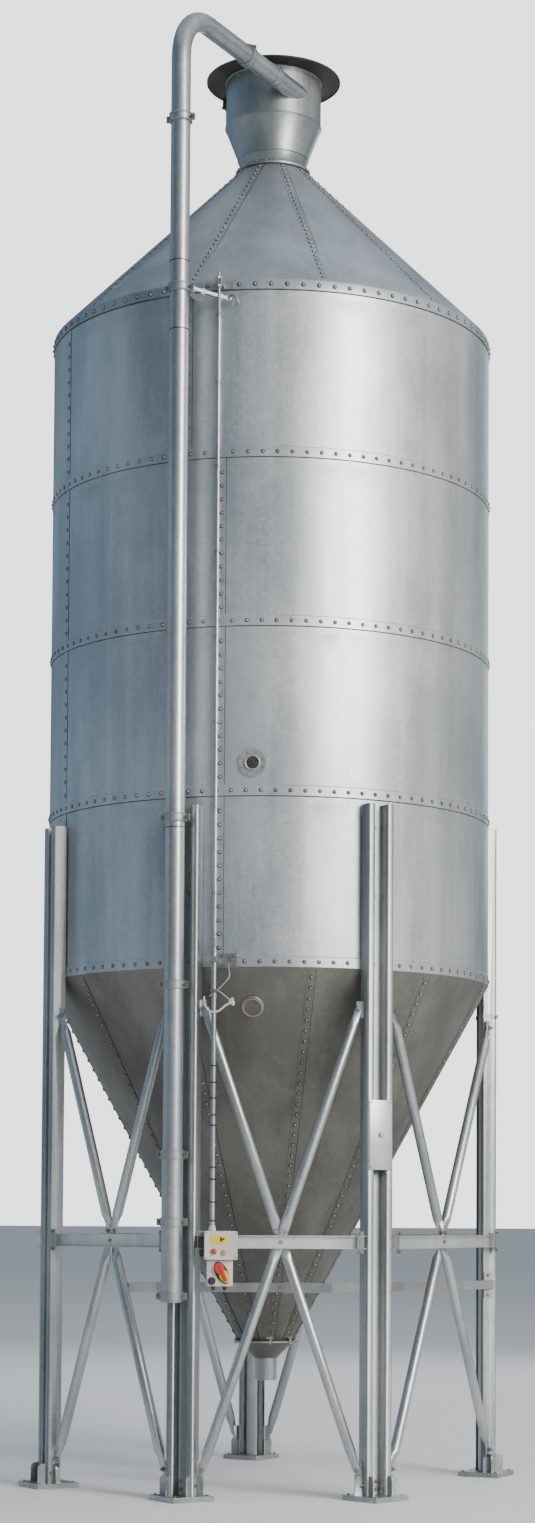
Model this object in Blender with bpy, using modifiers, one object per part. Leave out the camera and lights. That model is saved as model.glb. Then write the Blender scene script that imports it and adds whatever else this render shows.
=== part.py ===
"""Pellet silo: a bolted sheet steel tank on five legs, with a cyclone on the roof and a fill pipe.

Metres, +Z up, the front faces -Y. Everything is drawn round the tank's axis, with heights from a
line just above the ground, then moved so that the origin is on the ground in the middle.
Bearings are degrees round the axis, 0 at the front, growing towards +X.
"""
import math

import bmesh
import bpy
from mathutils import Matrix, Vector

# Clearance between neighbouring pieces
GAP = 0.0003

# Tank shell, four courses of sheet that lap down over each other
SHELL_R = 1.375
SHELL_WALL = 0.004
SHELL_SIDES = 72
SHELL_FOOT = 3.020
COURSE_RISE = 0.995
COURSE_NAMES = ("shell_course_1", "shell_course_2", "shell_course_3", "shell_course_4")
LAP_STEP = 0.003
LAP_HEIGHT = 0.060

# Roof cone with its skirt round the top course
EAVE_Z = 7.058
SKIRT_FOOT = 6.996
SKIRT_CLEARANCE = 0.0005
ROOF_TOP_R = 0.222
ROOF_TOP_Z = 8.200
COLLAR_R = 0.238
COLLAR_RISE = 0.016

# Cyclone on the roof
CYCLONE_WALL = 0.003
CYCLONE_SIDES = 48
NECK_FOOT_R = 0.200
NECK_TOP_R = 0.220
NECK_TOP_Z = 8.291
DRUM_R = 0.303
DRUM_FOOT_Z = 8.499
DRUM_TOP_Z = 8.800
LID_R = 0.426
LID_RISE = 0.020
LID_EDGE = 0.010

# Hopper and outlet
HOPPER_FOOT_R = 0.172
HOPPER_FOOT_Z = 0.815
FLANGE_R = 0.198
FLANGE_THICK = 0.012
OUTLET_TOP_R = 0.165
OUTLET_R = 0.069
OUTLET_CONE_Z = 0.703
OUTLET_FOOT_Z = 0.568

# Legs: folded W section, outer faces away from the tank
LEG_BEARINGS = (-65.5, -19.3, 26.8, 101.5, 184.0)
PLATE_TURNS = (6.0, -38.0, 18.0, -38.0, -38.0)
LEG_WIDTH = 0.172
LEG_DEPTH = 0.086
LEG_FLANGE = 0.049
LEG_SHEET = 0.004
LEG_BEND_R = 0.013
LEG_BEND_STEPS = 3
LEG_TOPS = (3.930, 3.955, 3.980, 4.050, 3.980)
FOOT_Z = -0.043
PLATE_SIDE = 0.270
PLATE_THICK = 0.030
FIN_THICK = 0.008
FIN_HEIGHT = 0.115
FIN_REACH = 0.050

# Beams and crossed braces between neighbouring legs
BEAM_Z = 1.435
BEAM_HEIGHT = 0.076
BEAM_FLANGE = 0.030
BEAM_SHEET = 0.004
BRACE_R = 0.030
BRACE_SIDES = 12
BRACE_FOOT_Z = 0.130
BRACE_TOP_Z = 2.780
BRACE_END_INSET = 0.032
FLAT_HALF_THICK = 0.005
END_HALF_WIDTH = 0.024
FLAT_HALF_WIDTH = 0.032
FLAT_END = 0.055
ROUND_FROM = 0.110
CROSS_SWELL = 0.050
LUG_THICK = 0.008
LUG_HALF_HEIGHT = 0.048
LUG_REACH = 0.044

# Crossed braces stand in the first bays; the rear leg has a stay up to the shell on each side
BRACED_BAYS = 3
REAR_LEG = 4
STAY_STEP = 45.0
STAY_TOP_Z = 3.046
STAY_ARM = 0.030

# Lower frame in front of the hopper
FRAME_Z = 1.160
FRAME_HEIGHT = 0.056
FRAME_DEPTH = 0.030
FRAME_Y = -0.800
FRAME_LEFT_X = -0.640
FRAME_RIGHT_X = 0.400

# Fill pipe in front of the second leg, and its bend to the cyclone
PIPE_R = 0.057
PIPE_WALL = 0.004
PIPE_SIDES = 24
PIPE_CLEAR = (PIPE_R + GAP) / math.cos(math.pi / PIPE_SIDES)
PIPE_BEARING = -20.2
PIPE_FROM_AXIS = 1.545
PIPE_FOOT_Z = 1.090
PIPE_JOINT_Z = 3.870
BEND_FOOT_Z = 7.982
BEND_R = 0.300
INLET_Z = 8.650
INLET_OFFSET = 0.235
RUN_FROM = 0.340
SPOUT_FROM = 0.700
BEND_STEPS = 10
SLEEVE_R = 0.0615
SLEEVE_CLEAR = (SLEEVE_R + GAP) / math.cos(math.pi / PIPE_SIDES)
SLEEVE_TOP_Z = 1.962
CLAMP_WALL = 0.006
CLAMP_HEIGHT = 0.050
CLAMP_ZS = (1.125, 1.547, 1.930, 2.905, PIPE_JOINT_Z, 6.972)
CLAMP_BLOCK = 0.042

# Sight glasses
GLASS_BEARING = -3.8
SHELL_GLASS_Z = 4.204
SHELL_GLASS_R = 0.083
SHELL_GLASS_HUB = 0.045
HOPPER_GLASS_Z = 2.800
HOPPER_GLASS_R = 0.066
GLASS_PLATE = 0.010
GLASS_HUB = 0.022

# Control box, isolator box and the conduit above them
BOX_X = -0.262
BOX_SIZE = (0.190, 0.100, 0.164)
BOX_TOP_Z = 1.497
ISOLATOR_SIZE = (0.150, 0.080, 0.150)
CONDUIT_R = 0.015
CONDUIT_X = -0.304
CONDUIT_FROM_AXIS = 1.452
RISER_R = 0.009
RISER_FROM_AXIS = 1.389
BRACKET_WIDTH = 0.124
BRACKET_THICK = 0.006
BRACKET_ARM = 0.040
TOP_BRACKET = (7.020, 0.044)
FOOT_BRACKET = (3.056, 0.084)

# Cover plate over the slot of the third leg
COVER_FOOT_Z = 1.853
COVER_TOP_Z = 2.257
COVER_WIDTH = 0.148
COVER_THICK = 0.006


def clear_scene():
    for obj in list(bpy.data.objects):
        bpy.data.objects.remove(obj, do_unlink=True)


def new_collection(name):
    collection = bpy.data.collections.new(name)
    bpy.context.scene.collection.children.link(collection)
    return collection


clear_scene()
PARTS = new_collection("pellet_silo")
CUTTERS = new_collection("cutters")


def steel(name, color, roughness, metallic=0.85):
    material = bpy.data.materials.new(name)
    material.use_nodes = True
    shader = material.node_tree.nodes["Principled BSDF"]
    shader.inputs["Base Color"].default_value = (*color, 1.0)
    shader.inputs["Roughness"].default_value = roughness
    shader.inputs["Metallic"].default_value = metallic
    return material


SHEET = ((0.62, 0.64, 0.66), 0.38)
HOPPER_SHEET = ((0.46, 0.45, 0.42), 0.45)
SECTION = ((0.58, 0.60, 0.62), 0.42)
PIPE = ((0.60, 0.61, 0.62), 0.35)


def bearing_axes(bearing):
    """Outward and sideways unit vectors at a bearing."""
    angle = math.radians(bearing)
    outward = Vector((math.sin(angle), -math.cos(angle), 0.0))
    sideways = Vector((math.cos(angle), math.sin(angle), 0.0))
    return outward, sideways


def frame_at(origin, x_axis, y_axis, z_axis):
    """Matrix that carries local axes onto the three given ones."""
    rows = Matrix((x_axis, y_axis, z_axis)).transposed().to_4x4()
    return Matrix.Translation(origin) @ rows


def leg_frame(bearing, distance, height=0.0):
    """Local X sideways, Y outward, Z up, at a distance from the tank's axis."""
    outward, sideways = bearing_axes(bearing)
    origin = outward * distance + Vector((0.0, 0.0, height))
    return frame_at(origin, sideways, outward, Vector((0.0, 0.0, 1.0)))


def mesh_object(name, bm, look=None, collection=None):
    """Object from a bmesh with its faces pointing out, in one material."""
    bmesh.ops.remove_doubles(bm, verts=bm.verts, dist=0.00001)
    bmesh.ops.recalc_face_normals(bm, faces=bm.faces)
    mesh = bpy.data.meshes.new(name)
    bm.to_mesh(mesh)
    bm.free()
    obj = bpy.data.objects.new(name, mesh)
    (collection or PARTS).objects.link(obj)
    if look:
        mesh.materials.append(steel(name, *look))
    if collection is CUTTERS:
        obj.hide_render = True
        obj.display_type = "WIRE"
    return obj


def settle(obj):
    """Apply an object's modifiers and shade its round faces smooth."""
    graph = bpy.context.evaluated_depsgraph_get()
    mesh = bpy.data.meshes.new_from_object(obj.evaluated_get(graph))
    bm = bmesh.new()
    bm.from_mesh(mesh)
    bmesh.ops.remove_doubles(bm, verts=bm.verts, dist=0.00001)
    bmesh.ops.dissolve_degenerate(bm, edges=bm.edges, dist=0.00001)
    bm.to_mesh(mesh)
    bm.free()
    obj.modifiers.clear()
    obj.data = mesh
    mesh.shade_smooth()
    mesh.set_sharp_from_angle(angle=math.radians(32.0))
    return obj


def combine(obj, others, operation):
    """Boolean with each of the other solids, which are then removed."""
    for other in others:
        modifier = obj.modifiers.new(operation.lower(), "BOOLEAN")
        modifier.operation = operation
        modifier.solver = "EXACT"
        modifier.object = other
    settle(obj)
    for other in others:
        bpy.data.objects.remove(other, do_unlink=True)
    return obj


def turned(name, profile, look, sides, closed=True, collection=None):
    """Profile of (radius, height) points spun round Z; it runs down its outer side."""
    bm = bmesh.new()
    points = [bm.verts.new((radius, 0.0, height)) for radius, height in profile]
    for start, end in zip(points, points[1:]):
        bm.edges.new((start, end))
    if closed:
        bm.edges.new((points[-1], points[0]))
    obj = mesh_object(name, bm, look, collection)
    screw = obj.modifiers.new("turn", "SCREW")
    screw.steps = sides
    screw.render_steps = sides
    screw.use_merge_vertices = True
    screw.merge_threshold = 0.0001
    return settle(obj)


def extruded(name, outline, depth, matrix, look=None, collection=None):
    """Flat outline in local XY, given a thickness centred on local Z."""
    curve = bpy.data.curves.new(name, "CURVE")
    curve.dimensions = "2D"
    curve.fill_mode = "BOTH"
    curve.extrude = depth / 2.0
    spline = curve.splines.new("POLY")
    spline.points.add(len(outline) - 1)
    for point, place in zip(spline.points, outline):
        point.co = (place[0], place[1], 0.0, 1.0)
    spline.use_cyclic_u = True
    guide = bpy.data.objects.new(name + "_outline", curve)
    PARTS.objects.link(guide)
    graph = bpy.context.evaluated_depsgraph_get()
    mesh = bpy.data.meshes.new_from_object(guide.evaluated_get(graph))
    bpy.data.objects.remove(guide, do_unlink=True)
    bm = bmesh.new()
    bm.from_mesh(mesh)
    bmesh.ops.transform(bm, matrix=matrix, verts=bm.verts)
    return mesh_object(name, bm, look, collection)


def block(name, size, matrix, look=None, collection=None, bevel=0.0):
    """Box of a size, centred on a frame, with rounded edges if asked."""
    bm = bmesh.new()
    bmesh.ops.create_cube(bm, size=1.0)
    bmesh.ops.scale(bm, vec=size, verts=bm.verts)
    bmesh.ops.transform(bm, matrix=matrix, verts=bm.verts)
    obj = mesh_object(name, bm, look, collection)
    if bevel:
        rounding = obj.modifiers.new("edges", "BEVEL")
        rounding.width = bevel
        rounding.segments = 2
        settle(obj)
    return obj


def rod(name, radius, start, end, sides, look=None, collection=None):
    """Round bar between two points."""
    bm = bmesh.new()
    along = end - start
    bmesh.ops.create_cone(bm, cap_ends=True, segments=sides, radius1=radius,
                          radius2=radius, depth=along.length)
    turn = along.to_track_quat("Z", "Y").to_matrix().to_4x4()
    place = Matrix.Translation((start + end) / 2.0) @ turn
    bmesh.ops.transform(bm, matrix=place, verts=bm.verts)
    return mesh_object(name, bm, look, collection)


def tube(name, points, radius, wall, look):
    """Open tube that follows points: a bevelled curve, bored by a thinner longer one."""
    solids = []
    for thickness, stretch in ((radius, 0.0), (radius - wall, 0.05)):
        curve = bpy.data.curves.new(name, "CURVE")
        curve.dimensions = "3D"
        curve.bevel_depth = thickness
        curve.bevel_resolution = (PIPE_SIDES - 4) // 2
        curve.use_fill_caps = True
        route = list(points)
        if stretch:
            first = (points[0] - points[1]).normalized() * stretch
            last = (points[-1] - points[-2]).normalized() * stretch
            route = [points[0] + first, *points[1:-1], points[-1] + last]
        spline = curve.splines.new("POLY")
        spline.points.add(len(route) - 1)
        for point, place in zip(spline.points, route):
            point.co = (*place, 1.0)
        guide = bpy.data.objects.new(name + "_route", curve)
        PARTS.objects.link(guide)
        graph = bpy.context.evaluated_depsgraph_get()
        mesh = bpy.data.meshes.new_from_object(guide.evaluated_get(graph))
        bpy.data.objects.remove(guide, do_unlink=True)
        bm = bmesh.new()
        bm.from_mesh(mesh)
        if stretch:
            solids.append(mesh_object(name + "_bore", bm, None, CUTTERS))
        else:
            solids.append(mesh_object(name, bm, look))
    return combine(solids[0], [solids[1]], "DIFFERENCE")


def ring_reach(radius, bearing, half_width):
    """How far out a faceted ring comes within a flat strip at a bearing."""
    step = 360.0 / SHELL_SIDES
    corners = []
    first = math.floor(bearing / step) - 3
    for index in range(first, first + 8):
        away = math.radians(index * step - bearing)
        corners.append((radius * math.sin(away), radius * math.cos(away)))
    reach = 0.0
    for (t0, r0), (t1, r1) in zip(corners, corners[1:]):
        low, high = max(t0, -half_width), min(t1, half_width)
        if low < high:
            for t in (low, high):
                reach = max(reach, r0 + (r1 - r0) * (t - t0) / (t1 - t0))
    return reach


def make_shell():
    for index, name in enumerate(COURSE_NAMES):
        foot = SHELL_FOOT + index * COURSE_RISE
        top = foot + COURSE_RISE - GAP
        if name == COURSE_NAMES[-1]:
            top = EAVE_Z - 0.012
        outline = ((SHELL_R, top), (SHELL_R, foot + LAP_HEIGHT),
                   (SHELL_R + LAP_STEP, foot + LAP_HEIGHT), (SHELL_R + LAP_STEP, foot),
                   (SHELL_R - SHELL_WALL, foot), (SHELL_R - SHELL_WALL, top))
        turned(name, outline, SHEET, SHELL_SIDES)


def make_roof():
    wall = SHELL_WALL
    skirt = SHELL_R + SKIRT_CLEARANCE
    slope = math.hypot(SHELL_R - ROOF_TOP_R, ROOF_TOP_Z - EAVE_Z)
    drop = wall * slope / (SHELL_R - ROOF_TOP_R)
    outline = ((ROOF_TOP_R, ROOF_TOP_Z), (skirt + wall, EAVE_Z), (skirt + wall, SKIRT_FOOT),
               (skirt, SKIRT_FOOT), (skirt, EAVE_Z - drop), (ROOF_TOP_R, ROOF_TOP_Z - drop))
    turned("roof_cone", outline, SHEET, SHELL_SIDES)
    foot = ROOF_TOP_Z + GAP
    top = foot + COLLAR_RISE
    bore = NECK_FOOT_R - CYCLONE_WALL
    outline = ((COLLAR_R, top), (COLLAR_R, foot), (bore, foot), (bore, top))
    turned("roof_collar", outline, SECTION, CYCLONE_SIDES)


def pipe_course():
    """Foot of the fill pipe, and the level direction of its inlet past the cyclone's axis."""
    outward, sideways = bearing_axes(PIPE_BEARING)
    foot = outward * PIPE_FROM_AXIS
    swing = math.asin(INLET_OFFSET / PIPE_FROM_AXIS)
    heading = -outward * math.cos(swing) + sideways * math.sin(swing)
    return foot, heading.normalized()


def make_cyclone():
    wall = CYCLONE_WALL
    foot = ROOF_TOP_Z + COLLAR_RISE + 2 * GAP
    top = NECK_TOP_Z - GAP
    outline = ((NECK_TOP_R, top), (NECK_FOOT_R, foot), (NECK_FOOT_R - wall, foot),
               (NECK_TOP_R - wall, top))
    turned("cyclone_neck", outline, SHEET, CYCLONE_SIDES)
    foot, top = NECK_TOP_Z, DRUM_FOOT_Z - GAP
    outline = ((DRUM_R, top), (NECK_TOP_R, foot), (NECK_TOP_R - wall, foot), (DRUM_R - wall, top))
    turned("cyclone_cone", outline, SHEET, CYCLONE_SIDES)
    foot, top = DRUM_FOOT_Z, DRUM_TOP_Z
    outline = ((DRUM_R, top), (DRUM_R, foot), (DRUM_R - wall, foot), (DRUM_R - wall, top))
    drum = turned("cyclone_drum", outline, SHEET, CYCLONE_SIDES)
    start, heading = pipe_course()
    level = start + Vector((0.0, 0.0, INLET_Z))
    nearest = PIPE_FROM_AXIS * math.cos(math.asin(INLET_OFFSET / PIPE_FROM_AXIS))
    inlet = rod("inlet_bore", PIPE_R - PIPE_WALL, level + heading, level + heading * nearest,
                PIPE_SIDES, None, CUTTERS)
    combine(drum, [inlet], "DIFFERENCE")
    edge = DRUM_TOP_Z + GAP
    outline = ((0.0, edge + LID_EDGE + LID_RISE), (LID_R, edge + LID_EDGE), (LID_R, edge),
               (0.0, edge))
    turned("cyclone_lid", outline, HOPPER_SHEET, CYCLONE_SIDES, closed=False)


def make_hopper():
    top = SHELL_FOOT - GAP
    wall = SHELL_WALL
    drop = wall * 0.9
    outline = ((SHELL_R, top), (HOPPER_FOOT_R, HOPPER_FOOT_Z), (HOPPER_FOOT_R - wall, HOPPER_FOOT_Z),
               (SHELL_R - wall - drop, top))
    turned("hopper_cone", outline, HOPPER_SHEET, SHELL_SIDES)
    top = HOPPER_FOOT_Z - GAP
    foot = top - FLANGE_THICK
    bore = OUTLET_TOP_R - wall
    outline = ((FLANGE_R, top), (FLANGE_R, foot), (bore, foot), (bore, top))
    turned("outlet_flange", outline, SECTION, CYCLONE_SIDES)
    top = foot - GAP
    outline = ((OUTLET_TOP_R, top), (OUTLET_R, OUTLET_CONE_Z), (OUTLET_R, OUTLET_FOOT_Z),
               (OUTLET_R - wall, OUTLET_FOOT_Z), (OUTLET_R - wall, OUTLET_CONE_Z),
               (OUTLET_TOP_R - wall, top))
    turned("outlet_spout", outline, HOPPER_SHEET, CYCLONE_SIDES)


def leg_distance(bearing):
    """From the tank's axis to the back of a leg that bears on the lowest lap."""
    return ring_reach(SHELL_R + LAP_STEP, bearing, LEG_WIDTH / 2.0) + GAP


def bay_frame(left, right):
    """Frame of the bay between two legs: X along it, Y outward, Z up, and its length."""
    ends = []
    for bearing, side in ((left, 0.5), (right, -0.5)):
        outward, sideways = bearing_axes(bearing)
        middle = leg_distance(bearing) + LEG_DEPTH / 2.0
        ends.append(outward * middle + sideways * LEG_WIDTH * side)
    along = (ends[1] - ends[0]).normalized()
    outward = Vector((along.y, -along.x, 0.0))
    matrix = frame_at(ends[0], along, outward, Vector((0.0, 0.0, 1.0)))
    return matrix, (ends[1] - ends[0]).length


def leg_outline():
    """Folded section with rounded bends: a web by the tank and a hollow rib on each side."""
    half = LEG_SHEET / 2.0
    outer, inner = LEG_WIDTH / 2.0 - half, LEG_WIDTH / 2.0 - LEG_FLANGE + half
    face = LEG_DEPTH - half
    path = [(outer, 0.0), (outer, face), (inner, face), (inner, half)]
    path += [(-x, y) for x, y in reversed(path)]
    course = [Vector(point) for point in path]
    line = [course[0]]
    for before, bend, after in zip(course, course[1:], course[2:]):
        entry = (before - bend).normalized()
        leave = (after - bend).normalized()
        centre = bend + (entry + leave) * LEG_BEND_R
        for step in range(LEG_BEND_STEPS + 1):
            angle = math.pi / 2.0 * step / LEG_BEND_STEPS
            line.append(centre - leave * LEG_BEND_R * math.cos(angle)
                        - entry * LEG_BEND_R * math.sin(angle))
    line.append(course[-1])
    sides = ([], [])
    for index, point in enumerate(line):
        ahead = line[min(index + 1, len(line) - 1)]
        behind = line[max(index - 1, 0)]
        along = (ahead - behind).normalized()
        across = Vector((-along.y, along.x)) * half
        sides[0].append(tuple(point + across))
        sides[1].append(tuple(point - across))
    return sides[0] + sides[1][::-1]


def fin(name, matrix):
    """Gusset with a rounded top: local X away from the leg, local Y up."""
    steps = 6
    outline = [(-0.002, 0.0), (FIN_REACH, 0.0)]
    shoulder = FIN_HEIGHT - FIN_REACH * 0.6
    for step in range(steps + 1):
        angle = math.pi / 2.0 * step / steps
        outline.append((FIN_REACH * (0.4 + 0.6 * math.cos(angle)),
                        shoulder + FIN_REACH * 0.6 * math.sin(angle)))
    outline.append((-0.002, FIN_HEIGHT))
    return extruded(name, outline, FIN_THICK, matrix, None, CUTTERS)


def lugs_of(index):
    """Bay, side and heights of the lugs on each side of a leg."""
    bearing = LEG_BEARINGS[index]
    both = (BRACE_FOOT_Z, BRACE_TOP_Z)
    if index == REAR_LEG:
        return [((bearing, bearing + STAY_STEP), True, both[:1]),
                ((bearing - STAY_STEP, bearing), False, both[:1])]
    found = []
    if index < BRACED_BAYS:
        found.append(((bearing, LEG_BEARINGS[index + 1]), True, both))
    if index > 0:
        found.append(((LEG_BEARINGS[index - 1], bearing), False, both))
    return found


def make_leg(index):
    bearing = LEG_BEARINGS[index]
    name = "leg_%d" % (index + 1)
    distance = leg_distance(bearing)
    frame = leg_frame(bearing, distance)
    base = FOOT_Z + PLATE_THICK / 2.0
    height = LEG_TOPS[index] - base
    lift = Matrix.Translation((0.0, 0.0, base + height / 2.0))
    leg = extruded(name, leg_outline(), height, frame @ lift, SECTION)
    turn = Matrix.Rotation(math.radians(-PLATE_TURNS[index]), 4, "Z")
    plate_place = Matrix.Translation((0.0, LEG_DEPTH / 2.0, base))
    welded = [block(name + "_plate", (PLATE_SIDE, PLATE_SIDE, PLATE_THICK),
                    frame @ plate_place @ turn, None, CUTTERS)]
    up, level = Vector((0, 0, 1)), Vector((0, 0, 0))
    for side in (-1.0, 1.0):
        away = Vector((side, 0.0, 0.0))
        floor = FOOT_Z + PLATE_THICK - 0.001
        origin = Vector((side * LEG_WIDTH / 2.0, LEG_DEPTH / 2.0, floor))
        place = frame_at(origin, away, up, away.cross(up))
        welded.append(fin(name + "_side_fin", frame @ place))
        away = Vector((0.0, 1.0, 0.0))
        origin = Vector((side * (LEG_WIDTH - LEG_FLANGE) / 2.0, LEG_DEPTH, floor))
        place = frame_at(origin, away, up, away.cross(up))
        welded.append(fin(name + "_front_fin", frame @ place))
    for pair, from_left, heights in lugs_of(index):
        bay, length = bay_frame(*pair)
        reach = LUG_REACH + 0.012
        middle = (LUG_REACH - 0.012) / 2.0
        along = middle if from_left else length - middle
        for z in heights:
            place = Matrix.Translation((along, -FLAT_HALF_THICK - GAP - LUG_THICK / 2.0, z))
            welded.append(block(name + "_lug", (reach, LUG_THICK, 2.0 * LUG_HALF_HEIGHT),
                                bay @ place, None, CUTTERS))
    combine(leg, welded, "UNION")


def make_beam(index):
    """Channel between two legs, cut to their side walls."""
    left = LEG_BEARINGS[index]
    right = LEG_BEARINGS[(index + 1) % len(LEG_BEARINGS)]
    bay, length = bay_frame(left, right)
    back = 2.0 * FLAT_HALF_THICK + 2.0 * GAP
    low, high = BEAM_Z - BEAM_HEIGHT / 2.0, BEAM_Z + BEAM_HEIGHT / 2.0
    outline = [(back, low), (back + BEAM_FLANGE, low), (back + BEAM_FLANGE, low + BEAM_SHEET),
               (back + BEAM_SHEET, low + BEAM_SHEET), (back + BEAM_SHEET, high - BEAM_SHEET),
               (back + BEAM_FLANGE, high - BEAM_SHEET), (back + BEAM_FLANGE, high), (back, high)]
    lay = frame_at(Vector((length / 2.0, 0.0, 0.0)), Vector((0, 1, 0)), Vector((0, 0, 1)),
                   Vector((1, 0, 0)))
    beam = extruded("beam_%d" % (index + 1), outline, length + 0.2, bay @ lay, SECTION)
    bm = bmesh.new()
    bm.from_mesh(beam.data)
    for bearing, end, side in ((left, 0.0, -1.0), (right, length, 1.0)):
        sideways = bearing_axes(bearing)[1] * side
        point = bay @ Vector((end, 0.0, 0.0)) - sideways * GAP
        cut = bmesh.ops.bisect_plane(bm, geom=bm.verts[:] + bm.edges[:] + bm.faces[:],
                                     plane_co=point, plane_no=sideways, clear_outer=True)
        edges = [e for e in cut["geom_cut"] if isinstance(e, bmesh.types.BMEdge)]
        bmesh.ops.contextual_create(bm, geom=edges)
    bmesh.ops.recalc_face_normals(bm, faces=bm.faces)
    bm.to_mesh(beam.data)
    bm.free()
    settle(beam)


def make_brace(name, bay, start, finish, shift=None):
    """Tube between two lugs, pressed flat at its ends and, with a shift, where a pair cross."""
    along = finish - start
    length = along.length
    along.normalize()
    outward = Vector((0.0, 1.0, 0.0))
    across = along.cross(outward)
    middle = length / 2.0
    offset = abs(BEAM_Z - (BRACE_FOOT_Z + BRACE_TOP_Z) / 2.0)
    clear = BEAM_HEIGHT / 2.0 + offset + FLAT_HALF_WIDTH * abs(across.z)
    pressed = max(clear / abs(along.z), FLAT_HALF_WIDTH * abs(along.z) / abs(across.z) + GAP)
    end = (FLAT_HALF_THICK, END_HALF_WIDTH)
    flat = (FLAT_HALF_THICK, FLAT_HALF_WIDTH)
    full = (BRACE_R, BRACE_R)
    stations = [(0.0, end, 0.0), (FLAT_END, end, 0.0), (ROUND_FROM, full, 0.0)]
    if shift is not None:
        stations += [(middle - pressed - CROSS_SWELL, full, 0.0), (middle - pressed, flat, shift),
                     (middle + pressed, flat, shift), (middle + pressed + CROSS_SWELL, full, 0.0)]
    stations += [(length - ROUND_FROM, full, 0.0), (length - FLAT_END, end, 0.0),
                 (length, end, 0.0)]
    bm = bmesh.new()
    rings = []
    for distance, (thick, wide), offset in stations:
        centre = start + along * distance + outward * offset
        ring = []
        for side in range(BRACE_SIDES):
            angle = 2.0 * math.pi * (side + 0.5) / BRACE_SIDES
            place = centre + outward * thick * math.cos(angle) + across * wide * math.sin(angle)
            ring.append(bm.verts.new(bay @ place))
        rings.append(ring)
    for low, high in zip(rings, rings[1:]):
        for side in range(BRACE_SIDES):
            after = (side + 1) % BRACE_SIDES
            bm.faces.new((low[side], low[after], high[after], high[side]))
    bm.faces.new(rings[0])
    bm.faces.new(rings[-1])
    settle(mesh_object(name, bm, PIPE))


def make_braces(index):
    left = LEG_BEARINGS[index]
    right = LEG_BEARINGS[(index + 1) % len(LEG_BEARINGS)]
    bay, length = bay_frame(left, right)
    low, high = BRACE_FOOT_Z, BRACE_TOP_Z
    near, far = BRACE_END_INSET, length - BRACE_END_INSET
    shift = FLAT_HALF_THICK + GAP / 2.0
    make_brace("brace_%d_rising" % (index + 1), bay, Vector((near, 0.0, low)),
               Vector((far, 0.0, high)), shift)
    make_brace("brace_%d_falling" % (index + 1), bay, Vector((near, 0.0, high)),
               Vector((far, 0.0, low)), -shift)


def make_stay(name, step):
    """Tube from the foot of the rear leg up to a bracket on the shell's lowest lap."""
    rear = LEG_BEARINGS[REAR_LEG]
    pair = (rear, rear + step) if step > 0.0 else (rear + step, rear)
    bay, length = bay_frame(*pair)
    near, far = BRACE_END_INSET, length - BRACE_END_INSET
    foot, head = (near, far) if step > 0.0 else (far, near)
    make_brace(name, bay, Vector((foot, 0.0, BRACE_FOOT_Z)), Vector((head, 0.0, STAY_TOP_Z)))
    back = -FLAT_HALF_THICK - GAP - LUG_THICK / 2.0
    place = bay @ Matrix.Translation((head, back, STAY_TOP_Z))
    lug = block(name + "_bracket", (0.064, LUG_THICK, 2.0 * LUG_HALF_HEIGHT), place, SECTION)
    point = bay @ Vector((head, back, STAY_TOP_Z))
    bearing = math.degrees(math.atan2(point.x, -point.y))
    seat = ring_reach(SHELL_R + LAP_STEP, bearing, STAY_ARM / 2.0) + GAP
    depth = Vector((point.x, point.y)).length - 0.002 - seat
    place = leg_frame(bearing, seat, STAY_TOP_Z) @ Matrix.Translation((0.0, depth / 2.0, 0.0))
    arm = block(name + "_arm", (STAY_ARM, depth, 0.040), place, None, CUTTERS)
    combine(lug, [arm], "UNION")


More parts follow.
